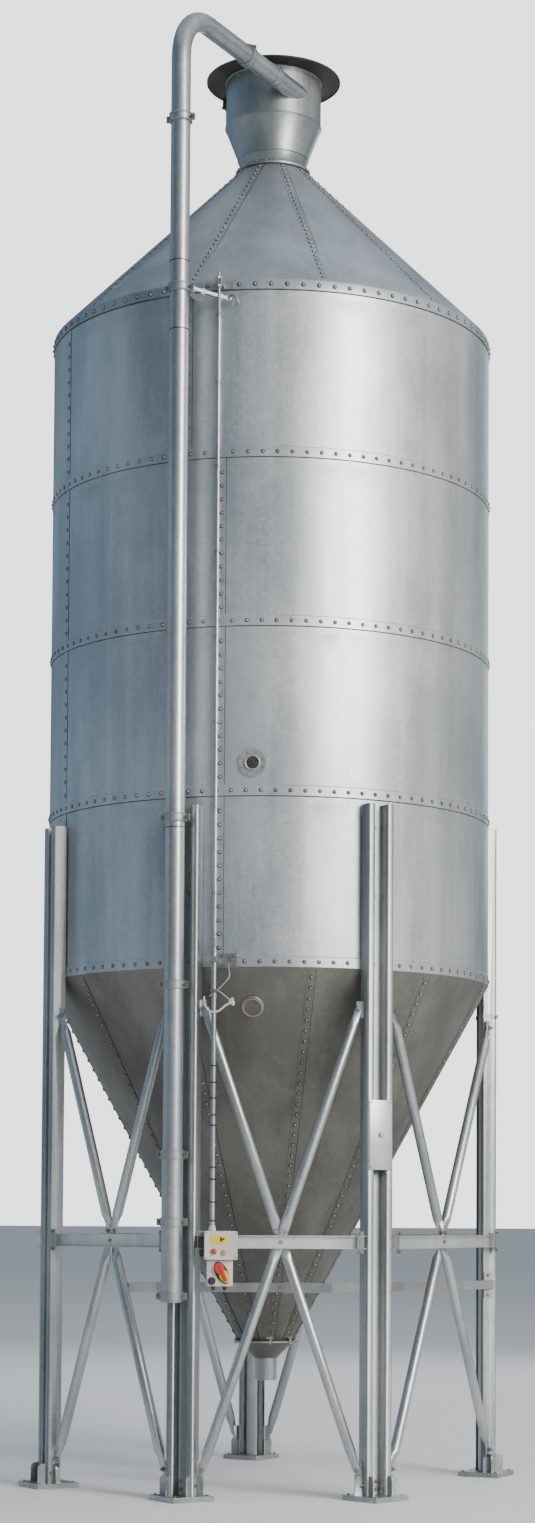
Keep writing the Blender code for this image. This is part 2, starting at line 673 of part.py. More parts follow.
def make_pipes():
    foot, heading = pipe_course()
    up = Vector((0.0, 0.0, 1.0))
    joint = foot + up * PIPE_JOINT_Z
    tube("fill_pipe_lower", [foot + up * PIPE_FOOT_Z, joint], PIPE_R, PIPE_WALL, PIPE)
    tube("fill_pipe_upper", [joint + up * GAP, foot + up * (BEND_FOOT_Z - GAP)],
         PIPE_R, PIPE_WALL, PIPE)
    route = [foot + up * BEND_FOOT_Z]
    centre = foot + up * (INLET_Z - BEND_R) + heading * BEND_R
    for step in range(BEND_STEPS + 1):
        angle = math.pi / 2.0 * step / BEND_STEPS
        route.append(centre - heading * BEND_R * math.cos(angle) + up * BEND_R * math.sin(angle))
    level = foot + up * INLET_Z
    route.append(level + heading * RUN_FROM)
    tube("fill_bend", route, PIPE_R, PIPE_WALL, PIPE)
    tube("fill_run", [level + heading * (RUN_FROM + GAP), level + heading * (SPOUT_FROM - GAP)],
         PIPE_R, PIPE_WALL, PIPE)
    nearest = math.sqrt(PIPE_FROM_AXIS ** 2 - INLET_OFFSET ** 2)
    spout = tube("inlet_spout", [level + heading * SPOUT_FROM, level + heading * nearest],
                 PIPE_R, PIPE_WALL, PIPE)
    body = turned("drum_body", ((0.0, 9.0), (DRUM_R + GAP, 9.0), (DRUM_R + GAP, 8.0), (0.0, 8.0)),
                  None, CYCLONE_SIDES, False, CUTTERS)
    combine(spout, [body], "DIFFERENCE")
    outline = ((SLEEVE_R, SLEEVE_TOP_Z), (SLEEVE_R, PIPE_FOOT_Z), (PIPE_CLEAR, PIPE_FOOT_Z),
               (PIPE_CLEAR, SLEEVE_TOP_Z))
    sleeve = turned("fill_sleeve", outline, PIPE, PIPE_SIDES)
    sleeve.data.transform(Matrix.Translation(foot))
    band_r = PIPE_CLEAR + CLAMP_WALL
    outline = ((band_r, 0.025), (band_r, -0.025), (PIPE_CLEAR, -0.025), (PIPE_CLEAR, 0.025))
    band = turned("bend_band", outline, PIPE, PIPE_SIDES)
    lift = Matrix.Translation(foot + up * BEND_FOOT_Z)
    band.data.transform(lift)
    place = leg_frame(PIPE_BEARING, PIPE_FROM_AXIS, BEND_FOOT_Z)
    ears = block("bend_ears", (2.0 * band_r + 0.05, 0.012, CLAMP_HEIGHT * 0.8), place, None, CUTTERS)
    bore = rod("bend_bore", PIPE_CLEAR, foot + up * (BEND_FOOT_Z - 0.1),
               foot + up * (BEND_FOOT_Z + 0.1), PIPE_SIDES, None, CUTTERS)
    combine(band, [ears], "UNION")
    combine(band, [bore], "DIFFERENCE")


def make_clamp(index):
    """Band round the pipe with bolt ears, and a foot that bears on the leg or on the shell."""
    z = CLAMP_ZS[index]
    name = "pipe_clamp_%d" % (index + 1)
    half = CLAMP_HEIGHT / 2.0
    clear = SLEEVE_CLEAR if z < SLEEVE_TOP_Z else PIPE_CLEAR
    reach = clear + CLAMP_WALL
    outline = ((reach, half), (reach, -half), (clear, -half), (clear, half))
    band = turned(name, outline, PIPE, PIPE_SIDES)
    foot, _ = pipe_course()
    outward, sideways = bearing_axes(PIPE_BEARING)
    band.data.transform(Matrix.Translation(foot + Vector((0.0, 0.0, z))))
    ears = block(name + "_ears", (2.0 * reach + 0.05, 0.012, CLAMP_HEIGHT * 0.8),
                 leg_frame(PIPE_BEARING, PIPE_FROM_AXIS, z), None, CUTTERS)
    if z < LEG_TOPS[1]:
        bearing = LEG_BEARINGS[1]
        seat = leg_distance(bearing) + LEG_DEPTH + GAP
        depth = PIPE_FROM_AXIS - seat
        side = -LEG_WIDTH / 2.0 + LEG_FLANGE / 2.0
        place = leg_frame(bearing, seat, z) @ Matrix.Translation((side, depth / 2.0, 0.0))
        width = LEG_FLANGE
    else:
        seat = ring_reach(SHELL_R, PIPE_BEARING, 0.03) + GAP
        depth = PIPE_FROM_AXIS - seat
        place = leg_frame(PIPE_BEARING, seat, z) @ Matrix.Translation((0.0, depth / 2.0, 0.0))
        width = 0.06
    arm = block(name + "_arm", (width, depth, CLAMP_BLOCK), place, None, CUTTERS)
    bore = rod(name + "_bore", clear, foot + Vector((0, 0, z - 0.1)),
               foot + Vector((0, 0, z + 0.1)), PIPE_SIDES, None, CUTTERS)
    combine(band, [ears, arm], "UNION")
    combine(band, [bore], "DIFFERENCE")


def sight_glass(name, radius, hub, place):
    """Bolted ring with a raised hub; local Z points out of the wall."""
    outline = ((0.0, GLASS_HUB - 0.006), (hub - 0.008, GLASS_HUB - 0.006),
               (hub - 0.008, GLASS_HUB), (hub, GLASS_HUB), (hub, GLASS_PLATE),
               (radius, GLASS_PLATE), (radius, 0.0), (0.0, 0.0))
    glass = turned(name, outline, HOPPER_SHEET, 32, closed=False)
    glass.data.transform(place)


def make_sight_glasses():
    outward, sideways = bearing_axes(GLASS_BEARING)
    up = Vector((0.0, 0.0, 1.0))
    seat = ring_reach(SHELL_R, GLASS_BEARING, SHELL_GLASS_R) + GAP
    origin = outward * seat + up * SHELL_GLASS_Z
    place = frame_at(origin, sideways, up, outward)
    sight_glass("shell_sight_glass", SHELL_GLASS_R, SHELL_GLASS_HUB, place)
    rise = SHELL_FOOT - HOPPER_FOOT_Z
    run = SHELL_R - HOPPER_FOOT_R
    lean = math.atan2(run, rise)
    distance = HOPPER_FOOT_R + run * (HOPPER_GLASS_Z - HOPPER_FOOT_Z) / rise
    normal = outward * math.cos(lean) - up * math.sin(lean)
    slope = outward * math.sin(lean) + up * math.cos(lean)
    origin = outward * distance + up * HOPPER_GLASS_Z + normal * GAP
    place = frame_at(origin, sideways, slope, normal)
    sight_glass("hopper_sight_glass", HOPPER_GLASS_R, HOPPER_GLASS_R - 0.008, place)


def make_boxes():
    """Control box and isolator on the front beam, and the conduit that rises from them."""
    bay, length = bay_frame(LEG_BEARINGS[1], LEG_BEARINGS[2])
    along = (bay.inverted() @ Vector((BOX_X, -1.35, 0.0))).x
    back = 2.0 * FLAT_HALF_THICK + 2.0 * GAP + BEAM_FLANGE + GAP
    wide, deep, tall = BOX_SIZE
    place = Matrix.Translation((along, back + deep / 2.0, BOX_TOP_Z - tall / 2.0))
    block("control_box", BOX_SIZE, bay @ place, ((0.78, 0.78, 0.75), 0.5, 0.0), bevel=0.006)
    low = BOX_TOP_Z - tall - GAP
    place = Matrix.Translation((along - 0.005, back + ISOLATOR_SIZE[1] / 2.0,
                                low - ISOLATOR_SIZE[2] / 2.0))
    block("isolator_box", ISOLATOR_SIZE, bay @ place, ((0.80, 0.80, 0.78), 0.5, 0.0),
          bevel=0.006)
    y = -math.sqrt(CONDUIT_FROM_AXIS ** 2 - CONDUIT_X ** 2)
    top = FOOT_BRACKET[0] + FOOT_BRACKET[1] / 2.0
    settle(rod("conduit", CONDUIT_R, Vector((CONDUIT_X, y, BOX_TOP_Z + GAP)),
               Vector((CONDUIT_X, y, top)), 12, SECTION))
    y = -math.sqrt(RISER_FROM_AXIS ** 2 - CONDUIT_X ** 2)
    head = TOP_BRACKET[0] - TOP_BRACKET[1] / 2.0 - GAP
    settle(rod("conduit_riser", RISER_R, Vector((CONDUIT_X, y, top + GAP)),
               Vector((CONDUIT_X, y, head)), 12, SECTION))


def make_cover():
    bearing = LEG_BEARINGS[2]
    seat = leg_distance(bearing) + LEG_DEPTH + GAP
    place = Matrix.Translation((0.0, COVER_THICK / 2.0, 0.0))
    frame = leg_frame(bearing, seat, (COVER_FOOT_Z + COVER_TOP_Z) / 2.0)
    block("leg_cover_plate", (COVER_WIDTH, COVER_THICK, COVER_TOP_Z - COVER_FOOT_Z),
          frame @ place, SHEET, bevel=0.002)


def level_bar(name, start, end, start_face, end_face):
    """Level box bar between two points, each end cut to a flat face with a given outward normal."""
    along = end - start
    length = along.length
    along.normalize()
    across = Vector((along.y, -along.x, 0.0))
    frame = frame_at((start + end) / 2.0, along, across, Vector((0, 0, 1)))
    bm = bmesh.new()
    bmesh.ops.create_cube(bm, size=1.0)
    bmesh.ops.scale(bm, vec=(length + 0.2, FRAME_DEPTH, FRAME_HEIGHT), verts=bm.verts)
    bmesh.ops.transform(bm, matrix=frame, verts=bm.verts)
    for point, normal in ((start, start_face), (end, end_face)):
        cut = bmesh.ops.bisect_plane(bm, geom=bm.verts[:] + bm.edges[:] + bm.faces[:],
                                     plane_co=point, plane_no=normal, clear_outer=True)
        edges = [e for e in cut["geom_cut"] if isinstance(e, bmesh.types.BMEdge)]
        bmesh.ops.contextual_create(bm, geom=edges)
    return mesh_object(name, bm, SECTION)


def make_lower_frame():
    """Front bar before the hopper, one to the fourth leg and one to a brace of the first bay."""
    left = Vector((FRAME_LEFT_X, FRAME_Y, FRAME_Z))
    right = Vector((FRAME_RIGHT_X, FRAME_Y, FRAME_Z))
    level_bar("frame_bar_front", left, right, Vector((-1, 0, 0)), Vector((1, 0, 0)))
    bearing = LEG_BEARINGS[3]
    outward, sideways = bearing_axes(bearing)
    middle = leg_distance(bearing) + LEG_DEPTH / 2.0
    seat = outward * middle - sideways * (LEG_WIDTH / 2.0 + GAP) + Vector((0, 0, FRAME_Z))
    start = right + Vector((-0.02, FRAME_DEPTH / 2.0 + GAP, 0.0))
    level_bar("frame_bar_right", start, seat, Vector((0, -1, 0)), sideways)
    bay, length = bay_frame(LEG_BEARINGS[0], LEG_BEARINGS[1])
    drop = (BRACE_TOP_Z - FRAME_Z) / (BRACE_TOP_Z - BRACE_FOOT_Z)
    along = BRACE_END_INSET + drop * (length - 2.0 * BRACE_END_INSET)
    facet = BRACE_R * math.cos(math.pi / BRACE_SIDES) + GAP
    seat = bay @ Vector((along, -facet, FRAME_Z))
    normal = bay.to_3x3() @ Vector((0, 1, 0))
    start = left + Vector((-GAP, 0.0, 0.0))
    level_bar("frame_bar_left", start, seat, Vector((1, 0, 0)), normal)


def make_conduit_bracket(name, level, wall_radius, shift):
    """Wall plate, set a little to one side, with an arm that holds the conduit."""
    z, height = level
    bearing = math.degrees(math.asin(CONDUIT_X / CONDUIT_FROM_AXIS))
    half = BRACKET_WIDTH / 2.0 + abs(shift)
    seat = ring_reach(wall_radius, bearing, half) + GAP
    depth = CONDUIT_FROM_AXIS + CONDUIT_R + 0.006 - seat
    frame = leg_frame(bearing, seat, z)
    place = frame @ Matrix.Translation((shift, BRACKET_THICK / 2.0, 0.0))
    plate = block(name, (BRACKET_WIDTH, BRACKET_THICK, height), place, SECTION)
    place = frame @ Matrix.Translation((0.0, depth / 2.0, 0.0))
    arm = block(name + "_arm", (BRACKET_ARM, depth, 0.034), place, None, CUTTERS)
    combine(plate, [arm], "UNION")
    outward, _ = bearing_axes(bearing)
    low = outward * CONDUIT_FROM_AXIS + Vector((0.0, 0.0, z - 0.1))
    high = outward * CONDUIT_FROM_AXIS + Vector((0.0, 0.0, z + 0.1))
    clear = (CONDUIT_R + GAP) / math.cos(math.pi / 12)
    bore = rod(name + "_bore", clear, low, high, 12, None, CUTTERS)
    combine(plate, [bore], "DIFFERENCE")


def centre_on_floor():
    """Move every piece so that the origin is at the middle of the foot of the whole."""
    corners = [v.co.copy() for obj in PARTS.objects for v in obj.data.vertices]
    middle = [(max(c[axis] for c in corners) + min(c[axis] for c in corners)) / 2.0
              for axis in (0, 1)]
    shift = Matrix.Translation((-middle[0], -middle[1], -FOOT_Z))
    for obj in PARTS.objects:
        obj.data.transform(shift)


def build():
    make_shell()
    make_roof()
    make_cyclone()
    make_hopper()
    for index in range(len(LEG_BEARINGS)):
        make_leg(index)
        make_beam(index)
    for index in range(BRACED_BAYS):
        make_braces(index)
    make_stay("stay_left", STAY_STEP)
    make_stay("stay_right", -STAY_STEP)
    make_pipes()
    for index in range(len(CLAMP_ZS)):
        make_clamp(index)
    make_sight_glasses()
    make_boxes()
    make_cover()
    make_lower_frame()
    skirt = SHELL_R + SKIRT_CLEARANCE + SHELL_WALL
    make_conduit_bracket("conduit_bracket_top", TOP_BRACKET, skirt, 0.010)
    make_conduit_bracket("conduit_bracket_foot", FOOT_BRACKET, SHELL_R + LAP_STEP, 0.060)
    centre_on_floor()


build()
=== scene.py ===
"""Dresses the pellet silo: smooth turned sheet, bolts, laps, straps, boxes and their finishes."""
import math

import bmesh
import bpy
from mathutils import Matrix, Vector


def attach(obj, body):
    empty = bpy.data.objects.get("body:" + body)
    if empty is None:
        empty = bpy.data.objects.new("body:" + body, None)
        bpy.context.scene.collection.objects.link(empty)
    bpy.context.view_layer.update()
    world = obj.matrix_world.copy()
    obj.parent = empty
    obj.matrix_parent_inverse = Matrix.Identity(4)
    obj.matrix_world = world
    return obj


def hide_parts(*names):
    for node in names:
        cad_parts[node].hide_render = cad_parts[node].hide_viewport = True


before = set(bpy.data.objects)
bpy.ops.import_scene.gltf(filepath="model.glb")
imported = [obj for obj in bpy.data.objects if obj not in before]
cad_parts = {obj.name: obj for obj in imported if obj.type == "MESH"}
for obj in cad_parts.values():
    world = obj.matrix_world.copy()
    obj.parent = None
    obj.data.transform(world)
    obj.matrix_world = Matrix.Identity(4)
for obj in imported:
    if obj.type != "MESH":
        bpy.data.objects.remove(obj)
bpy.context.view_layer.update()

# The tank's axis in the row frame; its heights start a little above the floor
FLOOR_Z = -0.043
AXIS = Vector((-0.0476196, -0.0385879, -FLOOR_Z))
UP = Vector((0.0, 0.0, 1.0))

SHELL_R = 1.375
LAP = 0.003
SHELL_FOOT = 3.020
RISE = 0.995
EAVE_Z = 7.058
SKIRT_R = 1.3795
ROOF_TOP_R, ROOF_TOP_Z = 0.222, 8.200
HOPPER_R, HOPPER_Z = 0.172, 0.815
LEGS = (-65.5, -19.3, 26.8, 101.5, 184.0)
LEG_BACK = 1.3783
LEG_WIDTH = 0.172
LEG_DEPTH = 0.086
LEG_OUT = LEG_BACK + LEG_DEPTH
ROOF_SEAMS = [13.1 + 360.0 / 11 * k for k in range(11)]
HOPPER_SEAMS = [11.0 + 360.0 / 11 * k for k in range(11)]
SEAM = -11.75
SHEET_SEAMS = ((SEAM, 104.0, 170.0, 232.0, 296.0), (SEAM, 104.0, 170.0, 232.0, 296.0),
               (SEAM, 104.0, 170.0, 232.0, 296.0), (-20.6, 104.0, 170.0, 232.0, 296.0))
PIPE_BEARING = -20.2
PIPE_FROM_AXIS = 1.545
PIPE_FOOT = AXIS + Vector((-0.533486, -1.449972, 0.0))
PIPE_R = 0.057
CLAMPS = (1.125, 1.547, 1.930, 2.905, 3.870, 6.972)
BEND_Z = 7.982
RUN = Vector((0.484029, 0.875052, 0.0))
RUN_Z = 8.650
CONDUIT_X = -0.304
CONDUIT_FROM_AXIS = 1.452
RISER_FROM_AXIS = 1.389
CONDUIT_BEARING = math.degrees(math.asin(CONDUIT_X / CONDUIT_FROM_AXIS))
CONDUIT = AXIS + Vector((CONDUIT_X, -math.sqrt(CONDUIT_FROM_AXIS ** 2 - CONDUIT_X ** 2), 0.0))
RISER = AXIS + Vector((CONDUIT_X, -math.sqrt(RISER_FROM_AXIS ** 2 - CONDUIT_X ** 2), 0.0))
BEAM_Z = 1.435
FRAME_Z = 1.160
FRAME_Y = -0.800
BRACE_ENDS = (0.130, 2.780)
STAY_TOP_Z = 3.046


# Places

def around(bearing):
    """Outward and sideways directions at a bearing round the tank; 0 faces the front."""
    angle = math.radians(bearing)
    return (Vector((math.sin(angle), -math.cos(angle), 0.0)),
            Vector((math.cos(angle), math.sin(angle), 0.0)))


def stand(origin, x_axis, y_axis, z_axis):
    """Matrix whose local axes lie along the three given directions."""
    turn = Matrix((x_axis, y_axis, z_axis)).transposed().to_4x4()
    return Matrix.Translation(origin) @ turn


def on_wall(bearing, radius, height):
    """Local Z out of an upright wall, local Y up, local X sideways."""
    outward, sideways = around(bearing)
    return stand(AXIS + outward * radius + UP * height, sideways, UP, outward)


def on_cone(bearing, part, low, high, lift=0.0):
    """Place on a cone between two (radius, height) rings; local Y runs up the slope."""
    outward, sideways = around(bearing)
    start = outward * low[0] + UP * low[1]
    end = outward * high[0] + UP * high[1]
    slope = (end - start).normalized()
    normal = sideways.cross(slope)
    return stand(AXIS + start.lerp(end, part) + normal * lift, sideways, slope, normal)


# Pieces

def keep(name, bm, finish, smooth=32.0, stands_for=()):
    """Finish a bmesh as a named piece of the silo."""
    bmesh.ops.remove_doubles(bm, verts=bm.verts, dist=0.00002)
    bmesh.ops.recalc_face_normals(bm, faces=bm.faces)
    mesh = bpy.data.meshes.new(name)
    bm.to_mesh(mesh)
    bm.free()
    mesh.materials.append(finish)
    if smooth:
        mesh.shade_smooth()
        mesh.set_sharp_from_angle(angle=math.radians(smooth))
    piece = bpy.data.objects.new(name, mesh)
    bpy.context.scene.collection.objects.link(piece)
    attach(piece, "root")
    if stands_for:
        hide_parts(*stands_for)
    return piece


def rounded(piece, width, segments=2):
    """Soften the corners of a piece."""
    bevel = piece.modifiers.new("edges", "BEVEL")
    bevel.width = width
    bevel.segments = segments
    bevel.limit_method = "ANGLE"
    bevel.angle_limit = math.radians(40.0)
    bevel.harden_normals = False
    return piece


def spun(bm, profile, place, steps=144, closed=True):
    """Turn a profile of (radius, height) points round a frame's local Z."""
    points = [bm.verts.new(place @ Vector((r, 0.0, z))) for r, z in profile]
    edges = [bm.edges.new(pair) for pair in zip(points, points[1:])]
    if closed:
        edges.append(bm.edges.new((points[-1], points[0])))
    axis = place.to_3x3() @ UP
    bmesh.ops.spin(bm, geom=points + edges, cent=place.translation, axis=axis,
                   angle=2.0 * math.pi, steps=steps, use_merge=True)


def turned(name, profile, finish, place=None, steps=144, closed=True, stands_for=(),
           smooth=32.0):
    bm = bmesh.new()
    spun(bm, profile, place or Matrix.Translation(AXIS), steps, closed)
    return keep(name, bm, finish, smooth, stands_for)


def cube(bm, size, place):
    made = bmesh.ops.create_cube(bm, size=1.0, matrix=place @ Matrix.Diagonal((*size, 1.0)))
    return made["verts"]


def drum(bm, radius, depth, place, segments=16, top=None):
    """Short round bar that starts on a frame's local XY plane and rises along local Z."""
    lift = Matrix.Translation((0.0, 0.0, depth / 2.0))
    bmesh.ops.create_cone(bm, cap_ends=True, segments=segments, radius1=radius,
                          radius2=radius if top is None else top, depth=depth,
                          matrix=place @ lift)


def wire_path(name, points, radius, finish, sides=8, cyclic=False):
    """Round wire that follows points."""
    curve = bpy.data.curves.new(name, "CURVE")
    curve.dimensions = "3D"
    curve.bevel_depth = radius
    curve.bevel_resolution = (sides - 4) // 2
    curve.use_fill_caps = True
    spline = curve.splines.new("POLY")
    spline.points.add(len(points) - 1)
    for point, place in zip(spline.points, points):
        point.co = (*place, 1.0)
    spline.use_cyclic_u = cyclic
    guide = bpy.data.objects.new(name + "_route", curve)
    bpy.context.scene.collection.objects.link(guide)
    mesh = bpy.data.meshes.new_from_object(
        guide.evaluated_get(bpy.context.evaluated_depsgraph_get()))
    bpy.data.objects.remove(guide, do_unlink=True)
    bm = bmesh.new()
    bm.from_mesh(mesh)
    bpy.data.meshes.remove(mesh)
    return keep(name, bm, finish, 50.0)


def smooth_route(points, steps=8):
    """Points along a smooth curve through a few given ones."""
    route = []
    last = len(points) - 1
    for index in range(last):
        before = points[max(index - 1, 0)]
        start, end = points[index], points[index + 1]
        after = points[min(index + 2, last)]
        for step in range(steps):
            t = step / steps
            route.append(0.5 * (2.0 * start + (end - before) * t
                                + (2.0 * before - 5.0 * start + 4.0 * end - after) * t * t
                                + (3.0 * start - before - 3.0 * end + after) * t ** 3))
    route.append(points[-1])
    return route


def redressed(node, finish, width=0.0015, smooth=32.0):
    """Merged copy of a steel part with softened corners; it stands for the part."""
    bm = bmesh.new()
    bm.from_mesh(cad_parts[node].data)
    bmesh.ops.remove_doubles(bm, verts=bm.verts, dist=0.00002)
    bmesh.ops.dissolve_limit(bm, angle_limit=0.01, verts=bm.verts, edges=bm.edges)
    piece = keep(node + "_steel", bm, finish, smooth, (node,))
    if width:
        rounded(piece, width)
    return piece


# Bolts

def bolt_shape(kind, radius):
    """One fastener as a mesh to be copied."""
    bm = bmesh.new()
    if kind == "dome":
        bmesh.ops.create_uvsphere(bm, u_segments=8, v_segments=6, radius=radius)
        bmesh.ops.bisect_plane(bm, geom=bm.verts[:] + bm.edges[:] + bm.faces[:],
                               plane_co=(0, 0, 0), plane_no=(0, 0, -1), clear_outer=True)
        bmesh.ops.holes_fill(bm, edges=bm.edges[:])
        bmesh.ops.scale(bm, vec=(1.0, 1.0, 0.80), verts=bm.verts)
        bmesh.ops.translate(bm, vec=(0.0, 0.0, 0.0012), verts=bm.verts)
    elif kind == "gasket":
        drum(bm, radius, 0.0022, Matrix.Identity(4), 12, radius * 0.93)
    else:
        drum(bm, radius * 1.45, radius * 0.25, Matrix.Identity(4), 12)
        drum(bm, radius, radius * 0.85, Matrix.Translation((0, 0, radius * 0.25)), 6)
        if kind == "stud":
            drum(bm, radius * 0.55, radius * 1.1, Matrix.Translation((0, 0, radius * 1.1)), 8)
    mesh = bpy.data.meshes.new("bolt_shape")
    bm.to_mesh(mesh)
    bm.free()
    return mesh


def copies(name, kind, radius, places, finish):
    """The same fastener at each place, as one piece."""
    shape = bolt_shape(kind, radius)
    bm = bmesh.new()
    for place in places:
        one = shape.copy()
        one.transform(place)
        bm.from_mesh(one)
        bpy.data.meshes.remove(one)
    bpy.data.meshes.remove(shape)
    return keep(name, bm, finish, smooth=45.0)


def bolts(name, places, finish, kind="hex", radius=0.009):
    """A row of hexagon bolts or studs."""
    return copies(name, kind, radius, places, finish)


def sheet_bolts(name, places, radius=0.0088):
    """Domed bolts of a sheet seam, each on its dark gasket."""
    copies(name + "_gaskets", "gasket", radius * 1.42, places, GASKET_AND_SHADOW)
    copies(name, "dome", radius, places, BOLT)


# Finishes

class Value:
    """A shader value: sums and products of it add the Math nodes they need."""

    def __init__(self, finish, socket):
        self.finish = finish
        self.socket = socket

    def sum_up(self, operation, first, second=None):
        values = [first] if second is None else [first, second]
        node = self.finish.node("ShaderNodeMath", {"operation": operation},
                                dict(enumerate(values)))
        return Value(self.finish, node.outputs[0])

    def __add__(self, other):
        return self.sum_up("ADD", self, other)

    __radd__ = __add__

    def __sub__(self, other):
        return self.sum_up("SUBTRACT", self, other)

    def __rsub__(self, other):
        return self.sum_up("SUBTRACT", other, self)

    def __mul__(self, other):
        return self.sum_up("MULTIPLY", self, other)

    __rmul__ = __mul__

    def __truediv__(self, other):
        return self.sum_up("DIVIDE", self, other)

    def over(self, other):
        """1 where this is greater than other."""
        return self.sum_up("GREATER_THAN", self, other)

    def wrapped(self, span):
        return self.sum_up("PINGPONG", self, span)

    def clamped(self, low, high):
        """0 at low and 1 at high, smooth between."""
        node = self.finish.node("ShaderNodeMapRange",
                                {"interpolation_type": "SMOOTHSTEP"},
                                {"Value": self, "From Min": low, "From Max": high})
        return Value(self.finish, node.outputs[0])


class Finish:
    """A procedural finish for one kind of surface."""

    def __init__(self, name):
        self.material = bpy.data.materials.new(name)
        self.material.use_nodes = True
        self.tree = self.material.node_tree
        self.shader = self.tree.nodes["Principled BSDF"]
        self.place = self.node("ShaderNodeTexCoord").outputs["Object"]

    def node(self, kind, settings=None, values=None):
        node = self.tree.nodes.new(kind)
        for key, value in (settings or {}).items():
            if key == "stops":
                ramp = node.color_ramp.elements
                while len(ramp) < len(value):
                    ramp.new(0.5)
                for element, (position, color) in zip(ramp, value):
                    element.position = position
                    element.color = color
            else:
                setattr(node, key, value)
        for key, value in (values or {}).items():
            self.feed(node.inputs[key], value)
        return node

    def feed(self, socket, value):
        if isinstance(value, Value):
            value = value.socket
        if isinstance(value, bpy.types.NodeSocket):
            self.tree.links.new(value, socket)
        else:
            socket.default_value = value

    def stretched(self, scale, place=(0.0, 0.0, 0.0)):
        node = self.node("ShaderNodeMapping", {}, {"Vector": self.place, "Location": place,
                                                   "Scale": scale})
        return node.outputs[0]

    def noise(self, scale, stretch=(1.0, 1.0, 1.0), detail=3.0, roughness=0.55, shift=0.0):
        node = self.node("ShaderNodeTexNoise", {"noise_dimensions": "3D"},
                         {"Vector": self.stretched(stretch, (shift, shift, shift)),
                          "Scale": scale, "Detail": detail, "Roughness": roughness})
        return Value(self, node.outputs[0])

    def crystals(self, scale):
        """Even random tone for each zinc crystal."""
        node = self.node("ShaderNodeTexVoronoi", {"feature": "F1"},
                         {"Vector": self.place, "Scale": scale, "Randomness": 1.0})
        tone = self.node("ShaderNodeSeparateColor", {}, {"Color": node.outputs["Color"]})
        return Value(self, tone.outputs[0])

    def height(self):
        node = self.node("ShaderNodeSeparateXYZ", {}, {"Vector": self.place})
        return Value(self, node.outputs["Z"])

    def blend(self, part, first, second, mode="MIX"):
        node = self.node("ShaderNodeMix", {"data_type": "RGBA", "blend_type": mode},
                         {"Factor": part})
        self.feed(node.inputs[6], first)
        self.feed(node.inputs[7], second)
        return node.outputs[2]

    def bump(self, height, strength, distance, under=None):
        values = {"Height": height, "Strength": strength, "Distance": distance}
        if under is not None:
            values["Normal"] = under
        return self.node("ShaderNodeBump", {}, values).outputs[0]

    def set(self, **values):
        for key, value in values.items():
            self.feed(self.shader.inputs[key.replace("_", " ")], value)
        return self.material


def rgb(red, green, blue):
    return (red, green, blue, 1.0)


def zinc(name, light, dark, grime_and_shade_colour, rough=0.40, metal=0.85, spangle=70.0, dirty=0.35,
         seams=None, waves=0.0, streaks=0.5):
    """Galvanised steel: crystals, weathered clouds, runs down the sheet, grime under the laps and a darker
    lap band that is part grime, part painted shade of the lap edge.
    """
    finish = Finish(name)
    clouds = finish.noise(1.6, (1.0, 1.0, 0.55), 4.0, 0.6)
    runs = finish.noise(5.0, (1.0, 1.0, 0.06), 5.0, 0.62, 3.1)
    fine = finish.noise(38.0, (1.0, 1.0, 0.5), 3.0, 0.6, 7.7)
    grain = finish.crystals(spangle)
    tone = clouds.clamped(0.30, 0.72) * 0.45 + runs.clamped(0.30, 0.75) * (streaks * 0.7)
    tone = tone + grain * 0.16 + fine * 0.14
    color = finish.blend(tone.clamped(0.15, 0.95), dark, light)
    grime_and_lap_shade = (finish.noise(2.4, (1.0, 1.0, 0.25), 5.0, 0.65, 11.3).clamped(0.50, 0.82)
            * runs.clamped(0.42, 0.70)) * dirty
    if seams:
        foot, rise = seams
        above = (finish.height() - foot).wrapped(rise * 50.0)
        fall = finish.node("ShaderNodeMath", {"operation": "FLOORED_MODULO"},
                           {0: above, 1: rise})
        step = Value(finish, fall.outputs[0])
        below = (1.0 - (rise - step).clamped(0.0, 0.16)) * runs.clamped(0.35, 0.65)
        # Darker band on the lowest 5 cm of each course, the part lapped over the course below: part grime,
        # part painted shade of the lap edge.
        lap = (1.0 - step.clamped(0.0, 0.05)) * 0.35
        grime_and_lap_shade = grime_and_lap_shade + below * (dirty * 0.7) + lap * dirty
    color = finish.blend(grime_and_lap_shade.clamped(0.0, 1.0), color, grime_and_shade_colour)
    roughness = rough + clouds * 0.10 - 0.05 + fine * 0.10 - 0.05 + grain * 0.05 + grime_and_lap_shade * 0.25
    relief = finish.bump(fine + grain * 0.4, 0.06, 0.002)
    if waves:
        dents = finish.noise(2.1, (1.0, 1.0, 0.8), 1.0, 0.4, 5.5)
        relief = finish.bump(dents, waves, 0.012, relief)
    return finish.set(Base_Color=color, Roughness=roughness, Metallic=metal, Normal=relief)


def moulded(name, color, rough=0.45, grain=300.0):
    """Moulded plastic with a fine grain and a little dust."""
    finish = Finish(name)
    dust = finish.noise(14.0, (1.0, 1.0, 1.0), 4.0, 0.6).clamped(0.45, 0.75)
    fine = finish.noise(grain, (1.0, 1.0, 1.0), 2.0, 0.5)
    tinted = finish.blend(dust * 0.22, rgb(*color), rgb(0.30, 0.28, 0.25))
    return finish.set(Base_Color=tinted, Roughness=rough + dust * 0.15 + fine * 0.04,
                      Normal=finish.bump(fine, 0.08, 0.0005))
